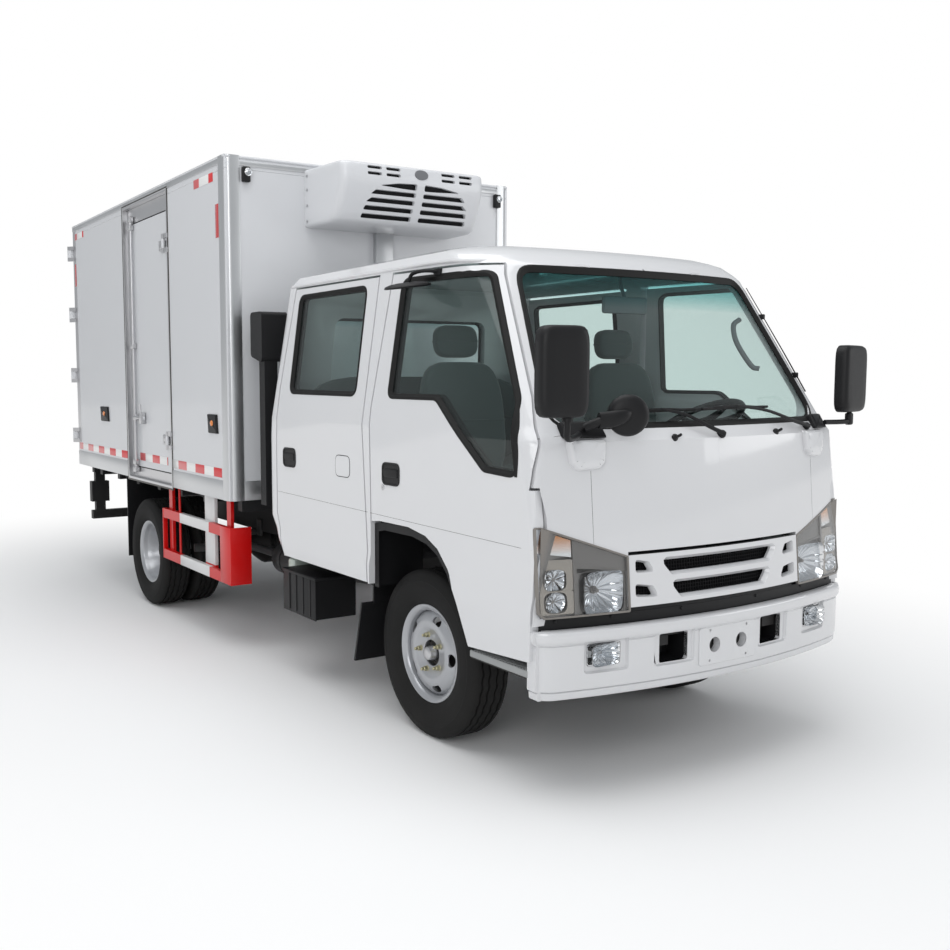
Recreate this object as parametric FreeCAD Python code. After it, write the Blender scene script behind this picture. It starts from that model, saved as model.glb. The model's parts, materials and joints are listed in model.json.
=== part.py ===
# Light truck with a double cab and a refrigerated box body
# Millimetres: the front faces -Y, +X is the truck's left side and +Z is up.
# The pieces are drawn with Y = 0 at the front axle and Z = 0 on the floor, and the
# last step moves them so that the origin lies under the middle of the whole truck.
import FreeCAD, Part
import math
import os

V = FreeCAD.Vector

# Wheels and track
WHEELBASE = 3360.0
TYRE_R = 380.0
TYRE_W = 205.0
RIM_W = 150.0
RIM_FLANGE_R = 222.0
RIM_SEAT_R = 203.0
FRONT_WHEEL_X = 710.0
REAR_TWIN_X = 745.0
TWIN_SPACING = 235.0
KINGPIN_X = 640.0
SPINDLE_R = 33.7
AXLE_R = 50.0
AXLE_EYE = (345.0, 415.0)
RUNNING_GAP = 0.3

# Cab
CAB_HALF = 893.0
CAB_SILL_HALF = 903.0
CAB_TOP_HALF = 805.0
CAB_REAR_Y = 1450.0
CAB_BELT_Z = 1400.0
CAB_RAIL_Z = 2095.0
CAB_TOP_Z = 2185.0
CAB_WALL = 55.0
DOOR_FRAME = 30.0
SEAM = 5.0
CAB_PLAN_R = 3500.0
CAB_FRONT_Y = -985.0
SCREEN_LOW = (-889.0, 1424.0)
SCREEN_HIGH = (-500.0, 2068.0)

# Bumper
BUMPER_FRONT_Y = -998.0
BUMPER_PAD = 6.0
BUMPER_HALF = 887.0
BUMPER_BACK_Y = -863.0
BUMPER_LOW_Z = 406.0
BUMPER_TOP_Z = 685.0

# Box body
BOX_HALF = 1000.0
BOX_FRONT_Y = 1734.0
BOX_REAR_Y = 4960.0
BOX_LOW_Z = 906.0
BOX_FLOOR_Z = 1025.0
BOX_TOP_Z = 2872.0
BOX_WALL = 80.0
REAR_PIN_OUT = 28.0
HINGE_R = 12.0
SIDE_HOLE = (2700.0, 3600.0, BOX_LOW_Z + 5, BOX_TOP_Z - 57)
SIDE_LEAF = (SIDE_HOLE[0] + 85, SIDE_HOLE[1] - 95, SIDE_HOLE[2] + 80, SIDE_HOLE[3] - 112)
SIDE_LEAF_X = (BOX_HALF - 74, BOX_HALF - 32)
SIDE_PIN = (BOX_HALF + 10, SIDE_LEAF[0] - 40)
REAR_HOLE = (BOX_HALF - 54, BOX_LOW_Z + 94, BOX_TOP_Z - 72)
GUARD_X = (BOX_HALF - 75, BOX_HALF - 55, BOX_HALF - 25)

# Chassis
RAIL_HALF = 350.0
RAIL_TOP_Z = 740.0
RAIL_HEIGHT = 180.0
RAIL_FLANGE = 65.0
RAIL_SHEET = 8.0
RAIL_FRONT_Y = -900.0
RAIL_REAR_Y = 4870.0

PARTS = {}


# Drawing helpers
def block(x0, x1, y0, y1, z0, z1):
    return Part.makeBox(x1 - x0, y1 - y0, z1 - z0, V(x0, y0, z0))


def rod(start, end, radius):
    a = V(*start)
    b = V(*end)
    return Part.makeCylinder(radius, (b - a).Length, a, b - a)


def mirrored(shape):
    return shape.mirror(V(0, 0, 0), V(1, 0, 0))


def joined(shapes):
    first = shapes[0]
    return first.fuse(shapes[1:]).removeSplitter() if len(shapes) > 1 else first


def pair(shape):
    return Part.makeCompound([shape, mirrored(shape)])


def pipe(points, radius, sides=8):
    """Mitred tube of flat strips through the points."""
    path = [V(*p) for p in points]
    steps = [(b - a).normalize() for a, b in zip(path, path[1:])]
    across = steps[0].cross(V(0, 0, 1) if abs(steps[0].z) < 0.9 else V(1, 0, 0)).normalize()
    up = steps[0].cross(across)
    corner = radius / math.cos(math.pi / sides)
    angles = [2 * math.pi * (i + 0.5) / sides for i in range(sides)]
    rings = [[path[0] + across * (corner * math.cos(t)) + up * (corner * math.sin(t)) for t in angles]]
    for i, step in enumerate(steps):
        mitre = step + steps[i + 1] if i + 1 < len(steps) else step
        rings.append([p + step * ((path[i + 1] - p).dot(mitre) / step.dot(mitre)) for p in rings[-1]])
    faces = [Part.Face(Part.makePolygon(ring + ring[:1])) for ring in (rings[0], rings[-1])]
    for a, b in zip(rings, rings[1:]):
        for i in range(sides):
            j = (i + 1) % sides
            faces.append(Part.Face(Part.makePolygon([a[i], a[j], b[j], b[i], a[i]])))
    return closed_solid(faces)


def closed_solid(faces):
    shell = Part.makeShell(faces)
    shell.sewShape()
    solid = Part.Solid(shell)
    if solid.Volume < 0:
        solid.reverse()
    return solid


def inset_points(points, distance):
    """Moves every side of a closed outline inwards and meets the sides again."""
    count = len(points)
    area = sum(points[i - 1][0] * points[i][1] - points[i][0] * points[i - 1][1] for i in range(count))
    turn = 1.0 if area > 0 else -1.0
    lines = []
    for i in range(count):
        (x0, y0), (x1, y1) = points[i], points[(i + 1) % count]
        length = math.hypot(x1 - x0, y1 - y0)
        nx = -(y1 - y0) / length * turn
        ny = (x1 - x0) / length * turn
        lines.append((x0 + nx * distance, y0 + ny * distance, x1 - x0, y1 - y0))
    moved = []
    for i in range(count):
        ax, ay, adx, ady = lines[i - 1]
        bx, by, bdx, bdy = lines[i]
        cross = adx * bdy - ady * bdx
        t = ((bx - ax) * bdy - (by - ay) * bdx) / cross if abs(cross) > 1e-6 else 0.0
        moved.append((ax + adx * t, ay + ady * t) if abs(cross) > 1e-6 else (bx, by))
    return moved


def outline(points, radii, place):
    """Closed wire through the points, with each corner rounded by its radius."""
    count = len(points)
    if not isinstance(radii, (list, tuple)):
        radii = [radii] * count
    corners = []
    for i in range(count):
        p0, p1, p2 = points[i - 1], points[i], points[(i + 1) % count]
        ax, ay = p0[0] - p1[0], p0[1] - p1[1]
        bx, by = p2[0] - p1[0], p2[1] - p1[1]
        la, lb = math.hypot(ax, ay), math.hypot(bx, by)
        ax, ay, bx, by = ax / la, ay / la, bx / lb, by / lb
        angle = math.acos(max(-1.0, min(1.0, ax * bx + ay * by)))
        if radii[i] <= 0 or abs(angle - math.pi) < 1e-3:
            corners.append((p1, None, p1))
            continue
        reach = min(radii[i] / math.tan(angle / 2), 0.45 * la, 0.45 * lb)
        radius = reach * math.tan(angle / 2)
        mx, my = ax + bx, ay + by
        lm = math.hypot(mx, my)
        far = radius / math.sin(angle / 2)
        middle = (p1[0] + mx / lm * (far - radius), p1[1] + my / lm * (far - radius))
        corners.append(((p1[0] + ax * reach, p1[1] + ay * reach), middle, (p1[0] + bx * reach, p1[1] + by * reach)))
    edges = []
    for i in range(count):
        start, middle, end = corners[i]
        if middle is not None:
            edges.append(Part.Arc(place(*start), place(*middle), place(*end)).toShape())
        after = corners[(i + 1) % count][0]
        if math.hypot(after[0] - end[0], after[1] - end[1]) > 1e-6:
            edges.append(Part.LineSegment(place(*end), place(*after)).toShape())
    return Part.Wire(edges)


def prism_x(points, x0, x1, radii=0):
    wire = outline(points, radii, lambda y, z: V(x0, y, z))
    return Part.Face(wire).extrude(V(x1 - x0, 0, 0))


def prism_y(points, y0, y1, radii=0):
    wire = outline(points, radii, lambda x, z: V(x, y0, z))
    return Part.Face(wire).extrude(V(0, y1 - y0, 0))


def prism_z(points, z0, z1, radii=0):
    wire = outline(points, radii, lambda x, y: V(x, y, z0))
    return Part.Face(wire).extrude(V(0, 0, z1 - z0))


def ring_wire(x, radius, sides):
    """Polygon in a plane across X whose flats lie at the radius, with a flat at the bottom."""
    corner = radius / math.cos(math.pi / sides)
    angles = [2 * math.pi * (i + 0.5) / sides - math.pi / 2 for i in range(sides + 1)]
    return Part.makePolygon([V(x, corner * math.cos(a), corner * math.sin(a)) for a in angles])


def turned(points, x, y, z, sides):
    """Turned solid about a line along X in flat strips; the points are a closed outline of (x, radius)."""
    faces = []
    for (xa, ra), (xb, rb) in zip(points, points[1:] + points[:1]):
        if ra == 0 and rb == 0:
            continue
        wires = [ring_wire(px, r, sides) for px, r in ((xa, ra), (xb, rb)) if r > 0]
        if xa == xb:
            large, *small = sorted((Part.Face(w) for w in wires), key=lambda f: -f.Area)
            faces.append(large.cut(small).Faces[0] if small else large)
            continue
        a = [v.Point for v in wires[0].OrderedVertexes]
        b = [v.Point for v in wires[-1].OrderedVertexes]
        for i in range(sides):
            j = (i + 1) % sides
            faces.append(Part.Face(Part.makePolygon([a[i], a[j], b[j], b[i], a[i]])))
    solid = closed_solid(faces)
    solid.translate(V(x, y, z))
    return solid


def keep(name, shape):
    PARTS[name] = shape


# Cab body form
FRONT_LINE = [(480, CAB_FRONT_Y - 15), (700, CAB_FRONT_Y), (1370, CAB_FRONT_Y + 55), (SCREEN_LOW[1], SCREEN_LOW[0]),
              (SCREEN_HIGH[1], SCREEN_HIGH[0]), (2130, -420), (2165, -320), (CAB_TOP_Z, -180)]
REAR_LINE = [(480, CAB_REAR_Y - 164), (664, CAB_REAR_Y - 164), (864, CAB_REAR_Y), (1300, CAB_REAR_Y),
             (2110, CAB_REAR_Y - 85), (2165, CAB_REAR_Y - 130), (CAB_TOP_Z, CAB_REAR_Y - 260)]
HALF_LINE = [(480, CAB_SILL_HALF), (745, CAB_SILL_HALF), (800, CAB_HALF), (CAB_BELT_Z, CAB_HALF),
             (CAB_RAIL_Z, CAB_TOP_HALF), (2150, CAB_TOP_HALF - 35), (CAB_TOP_Z, CAB_TOP_HALF - 170)]
CORNER_LINE = [(480, 35), (1071, 35), (1370, 90), (SCREEN_LOW[1], 120), (SCREEN_HIGH[1], 220), (2130, 240),
               (CAB_TOP_Z, 240)]


def along(line, z):
    for (z0, v0), (z1, v1) in zip(line, line[1:]):
        if z <= z1:
            return v0 + (v1 - v0) * (z - z0) / (z1 - z0)
    return line[-1][1]


def plan_wire(y_front, half, y_rear, front_r, rear_r, z):
    """Plan outline with a bowed front, rounded corners and a straight back."""
    arc_r = CAB_PLAN_R
    cy = y_front + arc_r - math.sqrt((arc_r - front_r) ** 2 - (half - front_r) ** 2)
    ux = (half - front_r) / (arc_r - front_r)
    uy = (cy - y_front - arc_r) / (arc_r - front_r)
    tx, ty = arc_r * ux, y_front + arc_r + arc_r * uy
    mid = math.atan2(uy, ux) / 2
    fx, fy = half - front_r + front_r * math.cos(mid), cy + front_r * math.sin(mid)
    s = rear_r * math.sqrt(0.5)
    edges = [
        Part.Arc(V(-tx, ty, z), V(0, y_front, z), V(tx, ty, z)).toShape(),
        Part.Arc(V(tx, ty, z), V(fx, fy, z), V(half, cy, z)).toShape(),
        Part.LineSegment(V(half, cy, z), V(half, y_rear - rear_r, z)).toShape(),
        Part.Arc(V(half, y_rear - rear_r, z), V(half - rear_r + s, y_rear - rear_r + s, z),
                 V(half - rear_r, y_rear, z)).toShape(),
        Part.LineSegment(V(half - rear_r, y_rear, z), V(-half + rear_r, y_rear, z)).toShape(),
        Part.Arc(V(-half + rear_r, y_rear, z), V(-half + rear_r - s, y_rear - rear_r + s, z),
                 V(-half, y_rear - rear_r, z)).toShape(),
        Part.LineSegment(V(-half, y_rear - rear_r, z), V(-half, cy, z)).toShape(),
        Part.Arc(V(-half, cy, z), V(-fx, fy, z), V(-tx, ty, z)).toShape(),
    ]
    return Part.Wire(edges)


BOW_STEPS = 8
CORNER_STEPS = 3


def plan_points(y_front, half, y_rear, front_r, rear_r, z):
    """The same plan outline as points, for faces that lie inside."""
    arc_r = CAB_PLAN_R
    cy = y_front + arc_r - math.sqrt((arc_r - front_r) ** 2 - (half - front_r) ** 2)
    start = math.atan2(cy - y_front - arc_r, half - front_r)
    tx = arc_r * math.cos(start)
    side = []
    for i in range(1, BOW_STEPS // 2):
        x = tx * 2 * i / BOW_STEPS
        side.append((x, y_front + arc_r - math.sqrt(arc_r ** 2 - x * x)))
    for i in range(CORNER_STEPS + 1):
        t = start * (1 - i / CORNER_STEPS)
        side.append((half - front_r + front_r * math.cos(t), cy + front_r * math.sin(t)))
    for t in (0.0, math.pi / 4, math.pi / 2):
        side.append((half - rear_r + rear_r * math.cos(t), y_rear - rear_r + rear_r * math.sin(t)))
    return [V(0, y_front, z)] + [V(x, y, z) for x, y in side] + [V(-x, y, z) for x, y in side[::-1]]


def faceted(rings):
    """Solid of flat faces between rings of points."""
    faces = [Part.Face(Part.makePolygon(ring + ring[:1])) for ring in (rings[0], rings[-1])]
    for low, high in zip(rings, rings[1:]):
        for i in range(len(low)):
            j = (i + 1) % len(low)
            a, b, c, d = low[i], low[j], high[j], high[i]
            normal = (b - a).cross(c - a).normalize()
            if abs((d - a).dot(normal)) < 1e-5:
                faces.append(Part.Face(Part.makePolygon([a, b, c, d, a])))
            else:
                faces.append(Part.Face(Part.makePolygon([a, b, c, a])))
                faces.append(Part.Face(Part.makePolygon([a, c, d, a])))
    return closed_solid(faces)


def skinned(wires):
    """Solid between sections that have the same number of edges, with flat sides kept flat."""
    faces = [Part.Face(wires[0]), Part.Face(wires[-1])]
    for low, high in zip(wires, wires[1:]):
        for a, b in zip(low.OrderedEdges, high.OrderedEdges):
            if a.Curve.TypeId == "Part::GeomLine":
                corners = [v.Point for v in a.Vertexes] + [v.Point for v in b.Vertexes][::-1]
                faces.append(Part.Face(Part.makePolygon(corners + corners[:1])))
            else:
                faces.append(Part.makeRuledSurface(a, b))
    return closed_solid(faces)


def cab_form(depth):
    """Solid form of the cab, with every face moved inwards by the depth; hidden faces are flat strips."""
    heights = sorted({z for line in (FRONT_LINE, REAR_LINE, HALF_LINE, CORNER_LINE) for z, _ in line})
    top = CAB_TOP_Z - depth
    heights = [z for z in heights if z < top - 8] + [top]
    if depth > 0:
        heights[0] = 300.0
    lean = math.hypot(1, (SCREEN_HIGH[0] - SCREEN_LOW[0]) / (SCREEN_HIGH[1] - SCREEN_LOW[1]))
    plans = []
    for z in heights:
        look = max(z, 480.0)
        factor = lean if look >= SCREEN_LOW[1] else 1.02
        plans.append((along(FRONT_LINE, look) + depth * factor, along(HALF_LINE, look) - depth,
                      along(REAR_LINE, look) - depth, along(CORNER_LINE, look) - 0.4 * depth,
                      70.0 - 0.6 * depth, z))
    if depth > 0:
        return faceted([plan_points(*plan) for plan in plans])
    return skinned([plan_wire(*plan) for plan in plans])


def front_y(x, z):
    front, half, corner = along(FRONT_LINE, z), along(HALF_LINE, z), along(CORNER_LINE, z)
    if abs(x) <= CAB_PLAN_R * (half - corner) / (CAB_PLAN_R - corner):
        return front + CAB_PLAN_R - math.sqrt(CAB_PLAN_R ** 2 - x * x)
    centre = front + CAB_PLAN_R - math.sqrt((CAB_PLAN_R - corner) ** 2 - (half - corner) ** 2)
    return centre - math.sqrt(corner ** 2 - (abs(x) - half + corner) ** 2)


def front_point(x, z, lift):
    """Point over the cab's front, at a height above its surface."""
    normal = V((front_y(x + 5, z) - front_y(x - 5, z)) / 10, -1, (front_y(x, z + 5) - front_y(x, z - 5)) / 10)
    return tuple(V(x, front_y(x, z), z) + normal.normalize() * lift)


FRONT_DOOR = [(-850, 565), (-846, 549), (-457, 526), (-452, 533), (-374, 684), (-295, 817), (-221, 891), (-130, 934),
              (4, 956), (241, 955), (322, 946), (336, 1473), (259, 2085), (-380, 2072), (-1000, 2072), (-1000, 1276),
              (-822, 1276), (-850, 1071)]
DOOR_INNER_X = CAB_HALF - CAB_WALL
PILLAR_FRONT = [(0, 300), (DOOR_INNER_X, 300), (DOOR_INNER_X, 1200), (880, 1200), (868, 1276), (828, 1443), (799, 1537), (711, 2023), (680, 2110), (0, 2110)]
PILLAR_SIDE = [(-1400, 300), (-790, 300), (-790, 1200), (-776, 1276), (-727, 1443), (-678, 1537), (-396, 2023), (-350, 2110),
               (-1400, 2110)]
REAR_DOOR = [(343, 654), (403, 1388), (378, 2085), (1240, 2090), (1318, 1560), (1330, 1250), (1330, 880), (1235, 654)]
DOOR_BEVEL = 9.0
FRONT_WINDOW = [(171, 2052), (197, 1527), (-187, 1525), (-540, 1250), (-745, 1240), (-702, 1520), (-405, 2040)]
FRONT_WINDOW_R = [60, 40, 70, 60, 40, 200, 60]
REAR_WINDOW = [(1184, 2047), (484, 2046), (491, 1532), (1197, 1538)]
SCREEN = [(-657, 2062), (657, 2062), (785, 1424), (-785, 1424)]
BACK_WINDOW = [(-520, 1950), (520, 1950), (540, 1580), (-540, 1580)]
ARCH = [(326, 300), (326, 942), (241, 955), (4, 956), (-130, 934), (-221, 891), (-295, 817), (-374, 684),
        (-452, 533), (-452, 300)]
LAMP = [(494, 931), (930, 1083), (930, 717), (494, 717)]
WIDE = 1300.0

cab_outer = cab_form(0.0)
cab_inner = cab_form(CAB_WALL)
cab_shell = cab_outer.cut(cab_inner)
frame_shell = cab_outer.cut(cab_form(DOOR_FRAME))


def pillar_zone(gap):
    """What the left windscreen pillar takes out of the door, moved outwards by the gap."""
    return prism_y(inset_points(PILLAR_FRONT, -gap), -1400, 0).common(
        prism_x(inset_points(PILLAR_SIDE, -gap), 0, WIDE))


def edge_bevel(edge):
    """Wedge off the inner side of a door's upper rear edge, so that the edge swings clear of its frame."""
    rings = []
    for y, z in edge:
        outer = along(HALF_LINE, z) - 4
        inner = along(HALF_LINE, z) - DOOR_FRAME - 3
        rings.append([V(outer, y, z), V(inner, y, z), V(inner, y - SEAM - DOOR_BEVEL, z)])
    return faceted(rings)


def door_solid(points, window, window_r, edge):
    """Left door: full thickness below the belt and a thinner window frame above it."""
    leaf = prism_x(inset_points(points, SEAM), 600, WIDE).cut(pillar_zone(SEAM)).cut(edge_bevel(edge))
    leaf = leaf.cut(block(0, DOOR_INNER_X, 1150, 1700, 300, CAB_BELT_Z))
    low = cab_shell.common(leaf).common(block(600, WIDE, -1300, 1700, 300, 1490))
    high = frame_shell.common(leaf).common(block(600, WIDE, -1300, 1700, 1490, 2300))
    return joined([low, high]).cut(prism_x(window, 600, WIDE, window_r))


glass_shell = cab_form(12.0).cut(cab_form(17.0))


def pane_solid(window, window_r):
    return glass_shell.common(prism_x(inset_points(window, 0.3), 600, WIDE, window_r))


for word, points, window, window_r, edge in (
        ("front", FRONT_DOOR, FRONT_WINDOW, FRONT_WINDOW_R, ((336, 1490), (257, 2095))),
        ("rear", REAR_DOOR, REAR_WINDOW, 50, ((1325, 1490), (1237, 2095)))):
    door = door_solid(points, window, window_r, edge)
    pane = pane_solid(window, window_r)
    keep("door_" + word + "_left", door)
    keep("door_" + word + "_right", mirrored(door))
    keep("glass_" + word + "_left", pane)
    keep("glass_" + word + "_right", mirrored(pane))

# Cab skin without its doors
front_cut = prism_x(inset_points(FRONT_DOOR, -SEAM), 0, WIDE).cut(pillar_zone(-SEAM))
skin = cab_shell.cut(front_cut).cut(mirrored(front_cut))
skin = skin.cut(prism_x(inset_points(REAR_DOOR, -SEAM), -WIDE, WIDE))
skin = skin.cut(prism_x(ARCH, -WIDE, WIDE))
skin = skin.cut(block(-WIDE, WIDE, -447, 2000, 200, 654))
skin = skin.cut(block(-WIDE, WIDE, -1400, -447, 200, 690))
skin = skin.cut(block(-RAIL_HALF - 50, RAIL_HALF + 50, 1000, 1700, 200, 785))
skin = skin.cut(prism_y(SCREEN, -1200, -300, 90))
skin = skin.cut(prism_y(BACK_WINDOW, 1200, 1600, 60))
ROOF_CUT = CAB_RAIL_Z + 7
REAR_CUT = 80.0
rear_zone = prism_x([(y - REAR_CUT, z) for z, y in REAR_LINE] + [(1700, CAB_TOP_Z), (1700, 480)], -WIDE, WIDE)
whole = block(-WIDE, WIDE, -1400, 1700, ROOF_CUT, 2400)
keep("cab_roof", skin.common(whole))
front_zone = prism_x([(-1400, 300), (-700, 300), (-700, 1443), (-640, 1537), (-330, 2023), (-290, ROOF_CUT),
                      (-1400, ROOF_CUT)], -WIDE, WIDE)
lower_skin = skin.common(block(-WIDE, WIDE, -1400, 1700, 300, ROOF_CUT))
front = lower_skin.common(front_zone)
lamp_zone = prism_y(LAMP, -1200, -856)
lamp_zone = lamp_zone.fuse(mirrored(lamp_zone))
grille_zone = block(-494, 494, -1200, -700, 600, 947).fuse(block(-WIDE, WIDE, -1200, -856, 600, 717))
keep("headlamps", front.common(lamp_zone))
keep("grille", front.common(grille_zone))
keep("cab_front", front.cut(lamp_zone).cut(grille_zone).removeSplitter())
rest = lower_skin.cut(front_zone)
keep("cab_rear_wall", rest.common(rear_zone))
keep("cab_side_frames", rest.cut(rear_zone))
screen_pane = glass_shell.common(prism_y(inset_points(SCREEN, 0.3), -1200, -300, 90))
back_pane = glass_shell.common(prism_y(inset_points(BACK_WINDOW, 0.3), 1200, 1600, 60))
keep("cab_glass", Part.makeCompound([screen_pane, back_pane]))

# Cab floor, seats and dashboard
FLOOR_HALF = CAB_HALF - CAB_WALL - 20
WELL_X = 430.0
footwell = joined([
    block(WELL_X, FLOOR_HALF, -925, -450, 580, 620),
    block(WELL_X - 40, WELL_X, -925, -450, 580, 820),
    block(WELL_X - 40, FLOOR_HALF, -490, -450, 580, 1000),
])
floor = joined([
    footwell,
    mirrored(footwell),
    block(-WELL_X, WELL_X, -925, -450, 780, 820),
    block(-WELL_X, WELL_X, -490, -450, 780, 1000),
    block(-FLOOR_HALF, FLOOR_HALF, -490, 370, 960, 1000),
    block(-FLOOR_HALF, FLOOR_HALF, 330, 370, 745, 1000),
    block(-FLOOR_HALF, FLOOR_HALF, 330, CAB_REAR_Y - CAB_WALL, 745, 785),
])
keep("cab_floor", floor.common(cab_inner))

seat = joined([
    prism_x([(-360, 1000), (-380, 1120), (-340, 1140), (60, 1120), (120, 1000)], -230, 230),
    prism_x([(40, 1100), (150, 1700), (230, 1700), (160, 1090)], -230, 230),
    prism_x([(160, 1700.3), (178, 1860), (240, 1860), (228, 1700.3)], -120, 120),
])
seats = []
for x in (-500, 500):
    copy = seat.copy()
    copy.translate(V(x, 0, 0))
    seats.append(copy)
bench = joined([
    prism_x([(720, 785), (700, 1090), (740, 1120), (1180, 1100), (1180, 785)], -760, 760),
    prism_x([(1150, 1090), (1230, 1640), (1300, 1640), (1290, 1090)], -760, 760),
])
keep("cab_seats", Part.makeCompound(seats + [bench]))

DASH_HALF = 755.0
dash = prism_x([(-820, 1000), (-820, 1320), (-700, 1350), (-610, 1300), (-590, 1180), (-650, 1000)],
               -DASH_HALF, DASH_HALF, 20)
dash = dash.fuse(prism_x([(-700, 820), (-700, 1050), (-600, 1050), (-560, 820)], -200, 200, 0))
STEER_X = 430.0
STEER_HUB = 50.0
STEER_CENTRE = V(STEER_X, -440, 1400)
STEER_LEAN = 30.0
STEER_AXIS = V(0, math.sin(math.radians(STEER_LEAN)), math.cos(math.radians(STEER_LEAN)))
column_low = STEER_CENTRE - STEER_AXIS * 420
column_high = STEER_CENTRE - STEER_AXIS * (STEER_HUB + RUNNING_GAP)
dash = dash.fuse(rod(tuple(column_low), tuple(column_high), 32)).common(cab_form(CAB_WALL + 8))
keep("dashboard", dash)

RIM_TUBE = [(15 * math.cos(math.radians(a)), 205 + 15 * math.sin(math.radians(a))) for a in range(0, 360, 60)]
wheel = joined([
    turned(RIM_TUBE, 0, 0, 0, 24),
    turned([(-STEER_HUB, 0), (-STEER_HUB, 40), (0, 48), (0, 0)], 0, 0, 0, 12),
    block(-20, -4, -200, 200, -14, 14),
    block(-20, -4, -14, 14, -200, 0),
])
wheel.rotate(V(0, 0, 0), V(0, 1, 0), -90)
wheel.rotate(V(0, 0, 0), V(1, 0, 0), -STEER_LEAN)
wheel.translate(STEER_CENTRE)
keep("steering_wheel", wheel)

# Bumper, steps, mirrors and wipers
def plan_solid(y_front, half, corner, z0, z1):
    wire = plan_wire(y_front, half, 600.0, corner, 10.0, z0)
    return Part.Face(wire).extrude(V(0, 0, z1 - z0))


def plan_cutter(y_front, half, corner, z0, z1):
    ring = plan_points(y_front, half, 600.0, corner, 10.0, z0)
    return Part.Face(Part.makePolygon(ring + ring[:1])).extrude(V(0, 0, z1 - z0))


bumper = plan_solid(BUMPER_FRONT_Y, BUMPER_HALF, 90.0, 441, BUMPER_TOP_Z)
bumper = bumper.fuse(plan_solid(BUMPER_FRONT_Y + 12, BUMPER_HALF - 12, 80.0, BUMPER_LOW_Z, 441))
bumper = bumper.cut(plan_cutter(BUMPER_FRONT_Y + 45, BUMPER_HALF - 45, 50.0, 400, 700))
bumper = bumper.common(block(-WIDE, WIDE, -1100, BUMPER_BACK_Y, 400, 700))
bumper = bumper.fuse(prism_y([(-165, 620), (165, 620), (165, 465), (-165, 465)], BUMPER_FRONT_Y - BUMPER_PAD,
                             BUMPER_FRONT_Y + 20, 15))
for x in (-270, 270):
    bumper = bumper.cut(prism_y([(x - 90, 617), (x + 90, 617), (x + 90, 503), (x - 90, 503)], -1100, -800))
for x in (-610, 610):
    bumper = bumper.cut(prism_y([(x - 80, 615), (x + 80, 615), (x + 70, 525), (x - 70, 525)], -1100, -800, 25))
for x in (-78, 78):
    bumper = bumper.cut(pipe([(x, -1100, 545), (x, -800, 545)], 31, 12))
for x in (-107, 107):
    for z in (-62, 62):
        bumper = bumper.cut(rod((x, -1100, 545 + z), (x, -900, 545 + z), 5))
stays = [block(x - 40, x + 40, BUMPER_FRONT_Y + 44, RAIL_FRONT_Y, 560, 680) for x in (-320, 320)]
keep("front_bumper", joined([bumper] + stays))

step = joined([block(795, 885, -815, -455, 480, 512), block(795, 803, -815, -455, 512, 580)])
keep("cab_steps", pair(step))


def head(x, y, z, width, height, depth, angle):
    shape = prism_y([(-width / 2, -height / 2), (width / 2, -height / 2), (width / 2, height / 2),
                     (-width / 2, height / 2)], -depth / 2, depth / 2, 40)
    shape.rotate(V(0, 0, 0), V(0, 0, 1), angle)
    shape.translate(V(x, y, z))
    return shape


mirror_skin = cab_form(-RUNNING_GAP)


def mirror_foot(x0, x1):
    """Bracket that follows the corner of the front panel."""
    return prism_z([(x0, -925), (x1 - 60, -905), (x1, -870), (x1, -760), (x0, -760)], 1383, 1440).cut(mirror_skin)


right_mirror = joined([
    head(-890, -1000, 1632, 230, 325, 60, 12),
    pipe([(-868, -1000, 1475), (-868, -995, 1410), (-700, -900, 1400), (-690, -850, 1400)], 11),
    pipe([(-600, -900, 1415), (-440, -905, 1455)], 14),
    head(-420, -930, 1467, 150, 150, 40, 12),
    mirrored(mirror_foot(570, 753)),
])
left_mirror = joined([
    head(915, -880, 1602, 230, 300, 60, -12),
    pipe([(905, -880, 1460), (905, -885, 1412), (730, -880, 1412)], 11),
    mirror_foot(690, 800),
])
keep("mirrors", Part.makeCompound([right_mirror, left_mirror]))

ARM_LIFT = 22.0
BLADE_R = 8.0
BLADE_LIFT = BLADE_R + RUNNING_GAP - 12 + 2


def wiper(pivot_x, pivot_z, grip_x, blade_x, blade_z):
    """Wiper with its pivot on the panel, its arm and its blade along the glass."""
    steps = [blade_x[0] + (blade_x[1] - blade_x[0]) * i / 4 for i in range(5)]
    heights = [blade_z[0] + (blade_z[1] - blade_z[0]) * i / 4 for i in range(5)]
    grip_z = blade_z[0] + (blade_z[1] - blade_z[0]) * (grip_x - blade_x[0]) / (blade_x[1] - blade_x[0])
    return joined([
        pipe([front_point(pivot_x, pivot_z, RUNNING_GAP), front_point(pivot_x, pivot_z, ARM_LIFT + 8)], 16),
        pipe([front_point(pivot_x, pivot_z, ARM_LIFT), front_point((pivot_x + grip_x) / 2, 1450, ARM_LIFT),
              front_point(grip_x, grip_z, ARM_LIFT - 4)], 7, 6),
        pipe([front_point(grip_x, grip_z, ARM_LIFT), front_point(grip_x, grip_z, BLADE_LIFT)], 6, 6),
        pipe([front_point(x, z, BLADE_LIFT) for x, z in zip(steps, heights)], BLADE_R, 6),
    ])


keep("wipers", Part.makeCompound([wiper(12, 1383, -265, (-520, -40), (1474, 1480)),
                                  wiper(631, 1392, 200, (-100, 400), (1478, 1484))]))

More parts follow.
